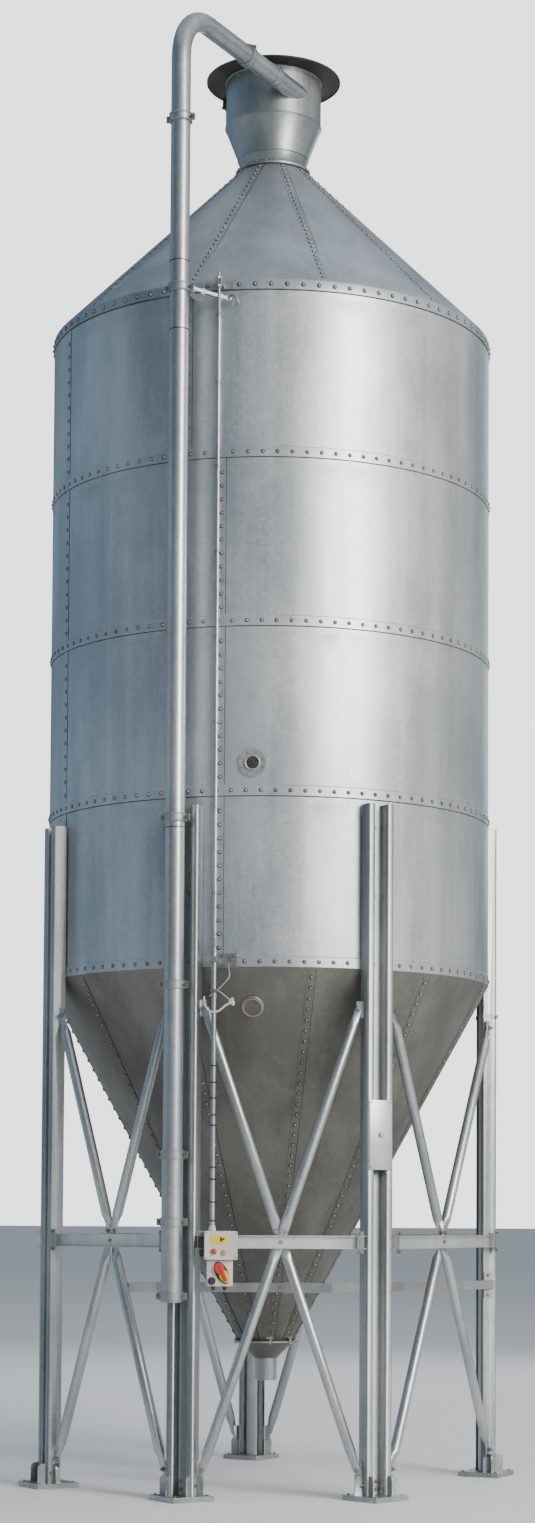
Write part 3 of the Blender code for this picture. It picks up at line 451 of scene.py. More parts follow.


# Shell sheet: its grime colour is also laid on each lap band as painted shade of the lap edge.
SHEET = zinc("galvanised_shell_sheet", rgb(0.60, 0.63, 0.65), rgb(0.38, 0.41, 0.44),
             rgb(0.22, 0.21, 0.19), 0.38, 0.84, seams=(SHELL_FOOT, RISE), waves=0.10)
ROOF = zinc("galvanised_roof_sheet", rgb(0.45, 0.49, 0.54), rgb(0.30, 0.33, 0.37),
            rgb(0.18, 0.18, 0.17), 0.44, 0.78, waves=0.12, dirty=0.45)
# Hopper sheet: weathered brownish zinc, with its colour darkened as a painted reflection of dark ground
# below, which the pale floor does not give.
HOPPER = zinc("weathered_hopper_with_painted_shade", rgb(0.235, 0.228, 0.21), rgb(0.135, 0.13, 0.118),
              rgb(0.10, 0.085, 0.07), 0.48, 0.72, waves=0.10, dirty=0.55)
SECTION = zinc("galvanised_leg_section", rgb(0.50, 0.52, 0.53), rgb(0.30, 0.32, 0.33),
               rgb(0.19, 0.17, 0.14), 0.35, 0.88, dirty=0.45, streaks=0.6)
BEAM = zinc("galvanised_beam", rgb(0.72, 0.73, 0.73), rgb(0.52, 0.53, 0.54),
            rgb(0.22, 0.20, 0.17), 0.46, 0.70, dirty=0.4)
TUBE = zinc("galvanised_tube", rgb(0.58, 0.60, 0.61), rgb(0.35, 0.37, 0.39),
            rgb(0.21, 0.18, 0.15), 0.33, 0.90, dirty=0.4)
BRACKET = zinc("galvanised_bracket", rgb(0.46, 0.47, 0.47), rgb(0.28, 0.285, 0.29),
               rgb(0.17, 0.14, 0.11), 0.42, 0.82, spangle=160.0, dirty=0.6)
CYCLONE = zinc("cyclone_sheet", rgb(0.42, 0.44, 0.45), rgb(0.25, 0.27, 0.28),
               rgb(0.15, 0.13, 0.11), 0.38, 0.84, dirty=0.45)
# Near-black finish: on the cyclone lid it is painted shade of the downward-facing underside; it also
# colours dark fittings such as ties, catches and brackets.
LID = zinc("dark_fittings_and_painted_lid_shade", rgb(0.075, 0.065, 0.055), rgb(0.03, 0.026, 0.022),
           rgb(0.03, 0.022, 0.017), 0.60, 0.35, dirty=0.5)
BOLT = zinc("bolt_zinc", rgb(0.44, 0.44, 0.44), rgb(0.21, 0.21, 0.21),
            rgb(0.11, 0.09, 0.07), 0.42, 0.85, spangle=220.0, dirty=0.6)
# Near-black rubber of the bolt gaskets; the same finish is painted shadow in the thin strips along the
# sheet lap edges and under the eave skirt.
GASKET_AND_SHADOW = moulded("black_gasket_and_painted_lap_shadow", (0.030, 0.028, 0.026), 0.70)
BRASS = zinc("brass_bolt", rgb(0.50, 0.42, 0.27), rgb(0.32, 0.26, 0.16),
             rgb(0.17, 0.13, 0.08), 0.38, 0.95, spangle=220.0, dirty=0.4)
BOX_GREY = moulded("box_grey_plastic", (0.62, 0.62, 0.58))
LABEL_YELLOW = moulded("yellow_panel", (0.86, 0.60, 0.01), 0.4)
BUTTON_RED = moulded("red_knob", (0.55, 0.03, 0.02), 0.35)
BUTTON_AMBER = moulded("amber_button", (0.75, 0.28, 0.03), 0.35)
BLACK = moulded("black_fitting", (0.03, 0.03, 0.03), 0.45)
DARK_GLASS = moulded("dark_sight_glass", (0.035, 0.033, 0.028), 0.12)
BROWN_GLASS = moulded("dusty_sight_glass", (0.10, 0.08, 0.055), 0.35)


# Camera, floor and light

def set_stage():
    data = bpy.data.cameras.new("camera")
    data.sensor_width = 36.0
    data.lens = 2731.47 / 1523.0 * 36.0
    data.shift_x = -0.00825
    data.shift_y = 0.1998
    camera = bpy.data.objects.new("camera", data)
    camera.matrix_world = (Matrix.Translation(AXIS + Vector((0.0786, -17.0705, 1.582)))
                           @ Matrix.Rotation(math.pi / 2.0 + 0.0551, 4, "X")
                           @ Matrix.Rotation(0.0059, 4, "Z"))
    bpy.context.scene.collection.objects.link(camera)
    bpy.context.scene.camera = camera
    bm = bmesh.new()
    bmesh.ops.create_grid(bm, x_segments=1, y_segments=1, size=400.0)
    mesh = bpy.data.meshes.new("floor")
    bm.to_mesh(mesh)
    bm.free()
    paint = bpy.data.materials.new("studio_floor")
    paint.use_nodes = True
    paint.node_tree.nodes["Principled BSDF"].inputs["Base Color"].default_value = rgb(.9, .9, .9)
    paint.node_tree.nodes["Principled BSDF"].inputs["Roughness"].default_value = 0.9
    mesh.materials.append(paint)
    floor = bpy.data.objects.new("floor", mesh)
    bpy.context.scene.collection.objects.link(floor)
    world = bpy.data.worlds.new("studio")
    world.use_nodes = True
    tree = world.node_tree
    room = tree.nodes["Background"]
    room.inputs["Strength"].default_value = 1.0
    spot = tree.nodes.new("ShaderNodeTexCoord")
    toward = tree.nodes.new("ShaderNodeVectorMath")
    toward.operation = "DOT_PRODUCT"
    toward.inputs[1].default_value = around(62.0)[0]
    tree.links.new(spot.outputs["Generated"], toward.inputs[0])
    share = tree.nodes.new("ShaderNodeMapRange")
    share.inputs["From Min"].default_value = -1.0
    tree.links.new(toward.outputs["Value"], share.inputs["Value"])
    ramp = tree.nodes.new("ShaderNodeValToRGB")
    stops = ((0.0, rgb(0.30, 0.43, 0.56)), (0.22, rgb(0.055, 0.095, 0.15)),
             (0.50, rgb(0.15, 0.21, 0.27)), (0.68, rgb(0.33, 0.39, 0.43)),
             (0.86, rgb(0.92, 0.91, 0.84)), (1.0, rgb(1.10, 1.07, 0.98)))
    while len(ramp.color_ramp.elements) < len(stops):
        ramp.color_ramp.elements.new(0.5)
    for element, (position, color) in zip(ramp.color_ramp.elements, stops):
        element.position = position
        element.color = color
    tree.links.new(share.outputs[0], ramp.inputs["Fac"])
    tree.links.new(ramp.outputs["Color"], room.inputs["Color"])
    wall = tree.nodes.new("ShaderNodeBackground")
    wall.inputs["Color"].default_value = rgb(1.0, 1.0, 1.0)
    wall.inputs["Strength"].default_value = 2.4
    path = tree.nodes.new("ShaderNodeLightPath")
    mixed = tree.nodes.new("ShaderNodeMixShader")
    tree.links.new(path.outputs["Is Camera Ray"], mixed.inputs[0])
    tree.links.new(room.outputs[0], mixed.inputs[1])
    tree.links.new(wall.outputs[0], mixed.inputs[2])
    tree.links.new(mixed.outputs[0], tree.nodes["World Output"].inputs["Surface"])
    bpy.context.scene.world = world
    for name, bearing, distance, height, size, power, color in (
            ("key", 40.0, 15.0, 9.0, (5.0, 8.0), 2300.0, (1.0, 0.96, 0.89)),
            ("fill", -75.0, 16.0, 7.0, (6.0, 8.0), 40.0, (0.80, 0.88, 1.0)),
            ("back", 165.0, 14.0, 9.0, (8.0, 8.0), 500.0, (0.95, 0.97, 1.0)),
            ("overhead", 0.0, 1.0, 30.0, (40.0, 40.0), 2200.0, (0.92, 0.96, 1.0))):
        light = bpy.data.lights.new(name, "AREA")
        light.shape = "RECTANGLE"
        light.size, light.size_y = size
        light.energy = power
        light.color = color
        lamp = bpy.data.objects.new(name, light)
        outward, _ = around(bearing)
        lamp.location = AXIS + outward * distance + UP * height
        aim = AXIS + UP * 4.2 - lamp.location
        lamp.rotation_euler = aim.to_track_quat("-Z", "Y").to_euler()
        lamp.visible_camera = False
        bpy.context.scene.collection.objects.link(lamp)


# Tank

def beside(bearing, stops, clear):
    """True if a bearing is clear of each of the others by so many degrees."""
    return all(abs((bearing - stop + 180.0) % 360.0 - 180.0) > clear for stop in stops)


def ring_strip(bm, radius, low, high, thick):
    """Thin upright ring round the tank."""
    outline = ((radius + thick, high), (radius + thick, low), (radius - 0.001, low),
               (radius - 0.001, high))
    spun(bm, outline, Matrix.Translation(AXIS))


def dress_shell():
    wall = 0.004
    for index in range(4):
        node = "shell_course_%d" % (index + 1)
        foot = SHELL_FOOT + index * RISE
        top = foot + RISE if index < 3 else EAVE_Z - 0.012
        outline = ((SHELL_R, top), (SHELL_R, foot + 0.062), (SHELL_R + LAP, foot + 0.058),
                   (SHELL_R + LAP, foot + 0.001), (SHELL_R + LAP - 0.001, foot),
                   (SHELL_R - wall, foot), (SHELL_R - wall, top))
        turned(node + "_sheet", outline, SHEET, stands_for=(node,))
    # Painted shadow: thin near-black rings just under the lap edge of each upper course and under the eave
    # skirt.
    bm = bmesh.new()
    for index in (1, 2, 3):
        foot = SHELL_FOOT + index * RISE
        ring_strip(bm, SHELL_R, foot - 0.0052, foot - 0.0004, 0.0021)
    ring_strip(bm, SHELL_R, 6.9915, 6.9962, 0.0032)
    keep("lap_painted_shadows", bm, GASKET_AND_SHADOW)
    for index in range(4):
        height = SHELL_FOOT + index * RISE + 0.030
        stops = [(leg, 3.9) for leg in LEGS] + [(CONDUIT_BEARING + 1.2, 3.4)] if index == 0 else []
        places = [on_wall(b, SHELL_R + LAP, height)
                  for b in (360.0 / 100 * (k + 0.5) for k in range(100))
                  if all(beside(b, (s,), c) for s, c in stops)]
        sheet_bolts("seam_bolts_%d" % (index + 1), places)
    places = [on_wall(b, SKIRT_R, 7.027) for b in (360.0 / 92 * k for k in range(92))
              if beside(b, (CONDUIT_BEARING, PIPE_BEARING), 2.9)]
    sheet_bolts("eave_bolts", places, 0.0098)
    for index, seams in enumerate(SHEET_SEAMS):
        foot = SHELL_FOOT + index * RISE
        laps, painted_shadows = bmesh.new(), bmesh.new()
        places = []
        for seam in seams:
            for step in range(4):
                cube(laps, (0.0125, RISE - 0.072, 0.0026),
                     on_wall(seam + (step - 1.5) * 0.50, SHELL_R + 0.0004,
                             foot + RISE / 2.0 + 0.033))
            # Painted shadow: a thin near-black strip along one edge of each vertical lap.
            cube(painted_shadows, (0.0034, RISE - 0.072, 0.0024),
                 on_wall(seam + 1.09, SHELL_R + 0.0003, foot + RISE / 2.0 + 0.033))
            places += [on_wall(seam, SHELL_R + 0.0016, foot + 0.11 + 0.0795 * k)
                       for k in range(11)]
        keep("sheet_lap_%d" % (index + 1), laps, SHEET, 60.0)
        keep("sheet_lap_seal_%d" % (index + 1), painted_shadows, GASKET_AND_SHADOW, 60.0)
        sheet_bolts("sheet_lap_bolts_%d" % (index + 1), places)


def slope_strip(bm, bearing, low, high, width, thick, aside=0.0):
    """Raised strip that runs up a cone, from near its foot to near its top."""
    place = on_cone(bearing, 0.5, low, high, 0.0) @ Matrix.Translation((aside, 0.0, 0.0))
    length = (Vector((high[0], 0.0, high[1])) - Vector((low[0], 0.0, low[1]))).length
    cube(bm, (width, length * 0.985, thick), place)


def cone_laps(name, seams, low, high, width, count, finish, radius):
    """Radial laps of a cone, each with a thin near-black strip along one edge as painted shadow of the lap
    edge, and a row of bolts on each.
    """
    laps, painted_shadows = bmesh.new(), bmesh.new()
    places = []
    for seam in seams:
        slope_strip(laps, seam, low, high, width, 0.0050)
        # Painted shadow: thin near-black strip along one edge of each lap.
        slope_strip(painted_shadows, seam, low, high, 0.0045, 0.0036, width / 2.0 + 0.0020)
        places += [on_cone(seam, 0.025 + 0.95 * k / (count - 1.0), low, high, 0.0024)
                   for k in range(count)]
    keep(name + "_laps", laps, finish, 60.0)
    keep(name + "_lap_seals", painted_shadows, GASKET_AND_SHADOW, 60.0)
    sheet_bolts(name + "_lap_bolts", places, radius)


def dress_cones():
    wall = 0.004
    outline = ((ROOF_TOP_R, ROOF_TOP_Z), (SKIRT_R - 0.002, EAVE_Z + 0.0015),
               (SKIRT_R, EAVE_Z - 0.003), (SKIRT_R, 6.9975), (SKIRT_R - wall, 6.9965),
               (SKIRT_R - wall, EAVE_Z - 0.004), (ROOF_TOP_R, ROOF_TOP_Z - 0.0057))
    turned("roof_sheet", outline, ROOF, stands_for=("roof_cone",))
    cone_laps("roof", ROOF_SEAMS, (SHELL_R, EAVE_Z), (ROOF_TOP_R, ROOF_TOP_Z), 0.050, 28, ROOF,
              0.0098)
    outline = ((SHELL_R, SHELL_FOOT - 0.0003), (HOPPER_R, HOPPER_Z), (HOPPER_R - wall, HOPPER_Z),
               (SHELL_R - 0.0076, SHELL_FOOT - 0.0003))
    turned("hopper_sheet", outline, HOPPER, stands_for=("hopper_cone",))
    cone_laps("hopper", HOPPER_SEAMS, (HOPPER_R, HOPPER_Z), (SHELL_R, SHELL_FOOT), 0.046, 36,
              HOPPER, 0.0092)


def dress_cyclone():
    redressed("roof_collar", BRACKET)
    places = [on_wall(15.0 * k + 4.0, 0.2305, 8.2163) for k in range(24)]
    places = [stand(p.translation, p.col[0].to_3d(), -p.col[2].to_3d(), UP) for p in places]
    bolts("collar_bolts", places, BOLT, "hex", 0.006)
    outline = ((0.2215, 8.2905), (0.2035, 8.2200), (0.2000, 8.2166), (0.1970, 8.2166),
               (0.2170, 8.2905))
    turned("neck_sheet", outline, CYCLONE, steps=96,
           stands_for=("cyclone_neck",))
    outline = ((0.3030, 8.4985), (0.2235, 8.2960), (0.2240, 8.2912), (0.2170, 8.2912),
               (0.3000, 8.4985))
    turned("funnel_sheet", outline, CYCLONE, steps=96,
           stands_for=("cyclone_cone",))
    redressed("cyclone_drum", CYCLONE, 0.0, 40.0)
    for name, radius, height, thick in (("drum_foot_bead", 0.3035, 8.503, 0.0045),
                                        ("drum_head_bead", 0.3035, 8.792, 0.0040),
                                        ("neck_bead", 0.2225, 8.292, 0.0040)):
        outline = [(radius + thick * math.cos(a), height + thick * math.sin(a))
                   for a in (math.pi / 2.0 - math.pi / 4.0 * k for k in range(8))]
        turned(name, outline, CYCLONE, steps=96)
    edge = 8.8003
    outline = ((0.0, edge + 0.030), (0.30, edge + 0.0165), (0.424, edge + 0.0105),
               (0.4260, edge + 0.0085), (0.4260, edge + 0.0005), (0.4240, edge - 0.0010),
               (0.4215, edge), (0.418, edge + 0.004), (0.31, edge + 0.003), (0.304, edge),
               (0.0, edge))
    bm = bmesh.new()
    spun(bm, outline, Matrix.Translation(AXIS), 96, False)
    # The lid sheet takes the near-black finish as painted shade of its underside; the thin top layer made
    # next gives it the roof finish from above.
    keep("lid_sheet", bm, LID, 32.0, ("cyclone_lid",))
    outline = ((0.0, edge + 0.0309), (0.30, edge + 0.0174), (0.4225, edge + 0.0114),
               (0.4225, edge + 0.0106), (0.30, edge + 0.0167), (0.0, edge + 0.0302))
    bm = bmesh.new()
    spun(bm, outline, Matrix.Translation(AXIS), 96, False)
    keep("lid_top", bm, ROOF)
    outline = [(0.4225 + 0.0035 * math.cos(a), edge + 0.0055 + 0.0048 * math.sin(a))
               for a in (math.pi / 2.0 - math.pi / 4.0 * k for k in range(8))]
    turned("lid_rim", outline, CYCLONE, steps=96)
    rivets = [on_wall(12.0 + 60.0 * k, 0.3030, 8.772) for k in range(6)]
    bolts("drum_rivets", rivets, BOLT, "hex", 0.007)
    bm = bmesh.new()
    for bearing in (-88.0,):
        catch = on_wall(bearing, 0.3025, 8.668)
        cube(bm, (0.034, 0.090, 0.007), catch @ Matrix.Translation((0.0, 0.0, 0.0035)))
        cube(bm, (0.018, 0.060, 0.016), catch @ Matrix.Translation((0.0, 0.006, 0.013)))
        cube(bm, (0.026, 0.012, 0.024), catch @ Matrix.Translation((0.0, -0.030, 0.014)))
    rounded(keep("drum_catch", bm, LID), 0.0015)


def dress_outlet():
    redressed("outlet_flange", BRACKET)
    top = HOPPER_Z - 0.0003
    clips = [stand(AXIS + around(45.0 * k + 8.0)[0] * 0.186 + UP * top, around(45.0 * k + 8.0)[1],
                   around(45.0 * k + 8.0)[0], UP) for k in range(8)]
    bm = bmesh.new()
    for clip in clips:
        drum(bm, 0.0055, 0.046, clip, 8)
        drum(bm, 0.0120, 0.010, clip, 12, 0.0090)
        cube(bm, (0.040, 0.004, 0.016), clip @ Matrix.Translation((0.0, 0.0, 0.020)))
        drum(bm, 0.0100, 0.008, clip @ Matrix.Translation((0.0, 0.0, -0.0206)), 6)
    keep("outlet_clips", bm, BOLT)
    top = HOPPER_Z - 0.0126
    outline = ((0.165, top), (0.0690, 0.703), (0.0650, 0.703), (0.161, top))
    turned("outlet_cone_sheet", outline, HOPPER, steps=96,
           stands_for=("outlet_spout",))
    outline = ((0.0692, 0.7028), (0.0692, 0.570), (0.0675, 0.568), (0.0650, 0.568),
               (0.0650, 0.7028))
    turned("outlet_tube", outline, TUBE, steps=96,
           stands_for=("outlet_spout",))
    outline = [(0.0692 + 0.0035 * math.cos(a), 0.7035 + 0.0035 * math.sin(a))
               for a in (math.pi / 2.0 - math.pi / 4.0 * k for k in range(8))]
    turned("outlet_bead", outline, BRACKET, steps=64)


# Frame

def bay(left, right):
    """Frame of the bay between two legs: X along it, Y outward, Z up, and its length."""
    ends = []
    for bearing, side in ((left, 0.5), (right, -0.5)):
        outward, sideways = around(bearing)
        ends.append(AXIS + outward * (LEG_BACK + LEG_DEPTH / 2.0) + sideways * LEG_WIDTH * side)
    along = (ends[1] - ends[0]).normalized()
    outward = Vector((along.y, -along.x, 0.0))
    return stand(ends[0], along, outward, UP), (ends[1] - ends[0]).length


OUTWARD = Matrix.Rotation(-math.pi / 2.0, 4, "X")


def leg_face(bearing, aside, out, height):
    """Place on a leg: local Z points out of the tank, local Y up."""
    outward, sideways = around(bearing)
    spot = AXIS + outward * (LEG_BACK + out) + sideways * aside + UP * height
    return stand(spot, sideways, UP, outward)


def leg_side(bearing, side, out, height):
    """Place on the side wall of a leg: local Z points away from the leg."""
    outward, sideways = around(bearing)
    spot = AXIS + outward * (LEG_BACK + out) + sideways * side * LEG_WIDTH / 2.0 + UP * height
    return stand(spot, outward * -side, UP, sideways * side)


def dress_legs():
    turns = (6.0, -38.0, 18.0, -38.0, -38.0)
    shell_bolts, foot_bolts, anchors = [], [], []
    for index, bearing in enumerate(LEGS):
        redressed("leg_%d" % (index + 1), SECTION, 0.0015, 40.0)
        for height in (SHELL_FOOT + 0.030, SHELL_FOOT + 0.43, SHELL_FOOT + 0.83):
            shell_bolts.append(leg_face(bearing, 0.0, 0.0045, height))
        for side in (-1.0, 1.0):
            for height in (0.020, 0.062):
                foot_bolts.append(leg_face(bearing, side * 0.022, 0.0045, height))
            foot_bolts.append(leg_side(bearing, side, 0.060, 0.045))
        centre = AXIS + around(bearing)[0] * (LEG_BACK + LEG_DEPTH / 2.0)
        turn = Matrix.Rotation(math.radians(bearing + turns[index]), 4, "Z")
        floor = FLOOR_Z + 0.030
        for x, y in ((-0.110, -0.110), (0.110, -0.110), (-0.110, 0.110), (0.110, 0.110)):
            anchors.append(Matrix.Translation(centre + UP * floor) @ turn
                           @ Matrix.Translation((x, y, 0.0)))
    bolts("leg_shell_bolts", shell_bolts, BOLT, "hex", 0.010)
    bolts("foot_bolts", foot_bolts, BRASS, "stud", 0.0085)
    bolts("foot_anchors", anchors, BOLT, "hex", 0.008)
    redressed("leg_cover_plate", SHEET, 0.0)
    bolts("cover_plate_bolt", [on_wall(LEGS[2], LEG_OUT + 0.0062, 2.055)], BRASS, "hex", 0.012)
    bm = bmesh.new()
    for height in (1.868, 2.242):
        for side in (-1.0, 1.0):
            drum(bm, 0.0055, 0.004, on_wall(LEGS[2], LEG_OUT + 0.0062, height)
                 @ Matrix.Translation((side * 0.062, 0.0, 0.0)), 12)
    keep("cover_plate_rivets", bm, BOLT)


def dress_bays():
    brace_bolts, cross_bolts, tab_bolts = [], [], []
    tabs = bmesh.new()
    for index, left in enumerate(LEGS):
        right = LEGS[(index + 1) % 5]
        place, length = bay(left, right)
        redressed("beam_%d" % (index + 1), BEAM, 0.0015)
        for x in (0.022, length - 0.022):
            spot = place @ Matrix.Translation((x, 0.0406 + 0.0030, BEAM_Z))
            cube(tabs, (0.038, 0.006, 0.126), spot)
            for z in (-0.052, 0.052):
                tab_bolts.append(spot @ Matrix.Translation((0.0, 0.003, z)) @ OUTWARD)
        if index > 2:
            continue
        for way in ("rising", "falling"):
            redressed("brace_%d_%s" % (index + 1, way), TUBE, 0.0, 50.0)
        for x in (0.032, length - 0.032):
            for z in BRACE_ENDS:
                brace_bolts.append(place @ Matrix.Translation((x, 0.0054, z)) @ OUTWARD)
        for x in (length / 2.0 - 0.028, length / 2.0 + 0.028):
            cross_bolts.append(place @ Matrix.Translation((x, 0.0104, BEAM_Z + 0.058)) @ OUTWARD)
        cross_bolts.append(place @ Matrix.Translation((length / 2.0, 0.0148, BEAM_Z)) @ OUTWARD)
    for side, step in (("left", 45.0), ("right", -45.0)):
        place, length = bay(min(LEGS[4], LEGS[4] + step), max(LEGS[4], LEGS[4] + step))
        foot, head = (0.032, length - 0.032) if step > 0.0 else (length - 0.032, 0.032)
        redressed("stay_" + side, TUBE, 0.0, 50.0)
        redressed("stay_" + side + "_bracket", BRACKET, 0.0015)
        for x, z in ((foot, BRACE_ENDS[0]), (head, STAY_TOP_Z)):
            brace_bolts.append(place @ Matrix.Translation((x, 0.0054, z)) @ OUTWARD)
    rounded(keep("beam_tabs", tabs, BRACKET), 0.0015)
    bolts("brace_bolts", brace_bolts, BOLT, "stud", 0.011)
    bolts("cross_bolts", cross_bolts, BOLT, "hex", 0.009)
    bolts("beam_tab_bolts", tab_bolts, BOLT, "stud", 0.008)


def dress_lower_frame():
    for bar in ("front", "right", "left"):
        redressed("frame_bar_" + bar, BRACKET, 0.002)
    bm = bmesh.new()
    face = AXIS + Vector((0.0, FRAME_Y - 0.015, FRAME_Z))
    sleeve = Matrix.Translation(face + Vector((0.218, -0.0017, 0.0)))
    cube(bm, (0.220, 0.003, 0.064), sleeve)
    for side in (-1.0, 1.0):
        cube(bm, (0.220, 0.030, 0.003), sleeve @ Matrix.Translation((0.0, 0.0135, side * 0.0305)))
    end = leg_side(LEGS[3], -1.0, 0.030, FRAME_Z)
    cube(bm, (0.056, 0.165, 0.006), end @ Matrix.Translation((0.0, 0.0, 0.0035)))
    rounded(keep("frame_splice", bm, BRACKET), 0.0012)
    front = Matrix.Rotation(math.pi / 2.0, 4, "X")
    places = [Matrix.Translation(face + Vector((x, -0.0004, 0.0))) @ front
              for x in (-0.420, 0.085)]
    places += [end @ Matrix.Translation((0.0, z, 0.0065)) for z in (-0.062, 0.062)]
    bolts("frame_bolts", places, BOLT, "stud", 0.009)
    bm = bmesh.new()
    height = BRACE_ENDS[1] + 0.075
    for side in (-1.0, 1.0):
        wall = leg_side(LEGS[3], side, LEG_DEPTH / 2.0, height)
        cube(bm, (LEG_DEPTH + 0.010, 0.026, 0.004), wall @ Matrix.Translation((0.0, 0.0, 0.0022)))
    cube(bm, (LEG_WIDTH + 0.012, 0.026, 0.004), leg_face(LEGS[3], 0.0, LEG_DEPTH + 0.0022, height))
    rounded(keep("leg_strap", bm, BRACKET), 0.0010)
    places = [leg_side(LEGS[3], side, LEG_DEPTH - 0.004, height) @ Matrix.Translation((0, 0, 0.004))
              for side in (-1.0, 1.0)]
    bolts("leg_strap_bolts", places, BOLT, "stud", 0.010)


# Fill pipe

def dress_pipe():
    for node in ("fill_pipe_lower", "fill_pipe_upper", "fill_bend", "fill_run", "inlet_spout",
                 "fill_sleeve"):
        redressed(node, TUBE, 0.0, 40.0)
    redressed("bend_band", TUBE, 0.002, 40.0)
    outward, sideways = around(PIPE_BEARING)
    ears = []
    for index, height in enumerate(CLAMPS + (BEND_Z,)):
        if height != BEND_Z:
            redressed("pipe_clamp_%d" % (index + 1), BRACKET, 0.0015, 40.0)
        reach = 0.081 if height < 1.962 else 0.077
        for side in (-1.0, 1.0):
            spot = PIPE_FOOT + sideways * side * reach + outward * 0.006 + UP * height
            ears.append(stand(spot, sideways, UP, outward))
            ears.append(stand(spot - outward * 0.012, -sideways, UP, -outward))
    bolts("clamp_bolts", ears, BOLT, "stud", 0.0085)
    bm = bmesh.new()
    for height in (CLAMPS[4] - 0.060, 7.125, 6.720):
        spot = stand(PIPE_FOOT + UP * height, sideways, outward, UP)
        spun(bm, ((PIPE_R + 0.0018, 0.005), (PIPE_R + 0.0018, 0.0), (PIPE_R + 0.0004, 0.0),
                  (PIPE_R + 0.0004, 0.005)), spot, 48)
    keep("pipe_joint_rings", bm, LID)
    bm = bmesh.new()
    for height in CLAMPS + (BEND_Z,):
        radius = 0.0680 if height < 1.962 else 0.0640
        thick = 0.0055 if height == BEND_Z else 0.0030
        outline = [(radius + thick * math.cos(a), thick * math.sin(a))
                   for a in (math.pi / 2.0 - math.pi / 4.0 * k for k in range(8))]
        for edge in (-0.021, 0.021):
            spun(bm, outline, stand(PIPE_FOOT + UP * (height + edge), sideways, outward, UP), 48)
    keep("clamp_beads", bm, BRACKET)
    across = RUN.cross(UP)
    strap_bolts = []
    bm = bmesh.new()
    for distance, half, proud in ((0.770, 0.026, 0.0060), (1.100, 0.030, 0.0050)):
        spot = PIPE_FOOT + RUN * distance + UP * RUN_Z
        place = stand(spot - RUN * half, across, UP, RUN)
        spun(bm, ((PIPE_R + proud, half * 2.0), (PIPE_R + proud, 0.0), (PIPE_R + 0.0006, 0.0),
                  (PIPE_R + 0.0006, half * 2.0)), place, 48)
        for side in (-1.0, 1.0):
            edge = place @ Matrix.Translation((0.0, 0.0, half + side * (half - 0.004)))
            spun(bm, ((PIPE_R + proud + 0.0035, 0.003), (PIPE_R + proud + 0.0035, -0.003),
                      (PIPE_R + proud - 0.001, -0.003), (PIPE_R + proud - 0.001, 0.003)), edge, 48)
        cube(bm, (0.012, 0.030, half * 1.5),
             place @ Matrix.Translation((PIPE_R * 0.72, PIPE_R * 0.72, half))
             @ Matrix.Rotation(math.radians(-45.0), 4, "Z"))
        lug = stand(spot + UP * (PIPE_R * 0.72) + across * (PIPE_R * 0.72 + 0.006), RUN,
                    (UP + across).normalized(), (across - UP).normalized())
        strap_bolts.append(lug @ Matrix.Translation((0.0, 0.010, 0.0)))
    keep("run_straps", bm, TUBE)
    bolts("run_strap_bolts", strap_bolts, BOLT, "stud", 0.008)


# Sight glasses

def dress_glasses():
    wall = on_wall(-3.8, SHELL_R + 0.0003, 4.204)
    slope = on_cone(-3.8, (2.800 - HOPPER_Z) / (SHELL_FOOT - HOPPER_Z), (HOPPER_R, HOPPER_Z),
                    (SHELL_R, SHELL_FOOT), 0.0003)
    for name, place, radius, hub, glass in (
            ("shell_glass", wall, 0.083, 0.045, DARK_GLASS),
            ("hopper_glass", slope, 0.066, 0.058, BROWN_GLASS)):
        outline = ((0.0, 0.0140), (hub - 0.008, 0.0140), (hub - 0.008, 0.0215),
                   (hub - 0.004, 0.0230), (hub, 0.0215), (hub, 0.0100), (radius - 0.002, 0.0100),
                   (radius, 0.0080), (radius, -0.003), (0.0, -0.003))
        node = "shell_sight_glass" if name == "shell_glass" else "hopper_sight_glass"
        turned(name + "_ring", outline, BRACKET, place, 48, False, (node,))
        outline = ((0.0, 0.0175), (hub - 0.009, 0.0165), (hub - 0.009, 0.0138), (0.0, 0.0138))
        turned(name + "_pane", outline, glass, place, 48, False)
        if name == "shell_glass":
            ring = [place @ Matrix.Rotation(math.radians(45.0 * k + 22.5), 4, "Z")
                    @ Matrix.Translation((0.066, 0.0, 0.010)) for k in range(8)]
            bolts(name + "_bolts", ring, BOLT, "hex", 0.006)


# Boxes and conduit

def extent(node, place):
    """Lowest and highest corners of a steel part in a frame of its own."""
    back = place.inverted()
    points = [back @ v.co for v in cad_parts[node].data.vertices]
    return (Vector([min(p[k] for p in points) for k in range(3)]),
            Vector([max(p[k] for p in points) for k in range(3)]))


def box_face(node, place):
    """Place on the middle of a box's front: X to the right, Y up, Z out of the box."""
    low, high = extent(node, place)
    middle = (low + high) / 2.0
    spot = place @ Vector((middle.x, high.y, middle.z))
    turn = place.to_3x3()
    return stand(spot, turn @ Vector((1, 0, 0)), turn @ UP, turn @ Vector((0, 1, 0)))


def at(face, x, y, z=0.0, turn=0.0):
    return face @ Matrix.Translation((x, y, z)) @ Matrix.Rotation(math.radians(turn), 4, "Z")


def oval(bm, place, width, height, depth, segments=32):
    """Flat oval block that starts on a frame's local XY plane."""
    size = Matrix.Diagonal((width, height, 1.0, 1.0))
    drum(bm, 0.5, depth, place @ size, segments, 0.5 - 0.15 * depth / max(width, height))


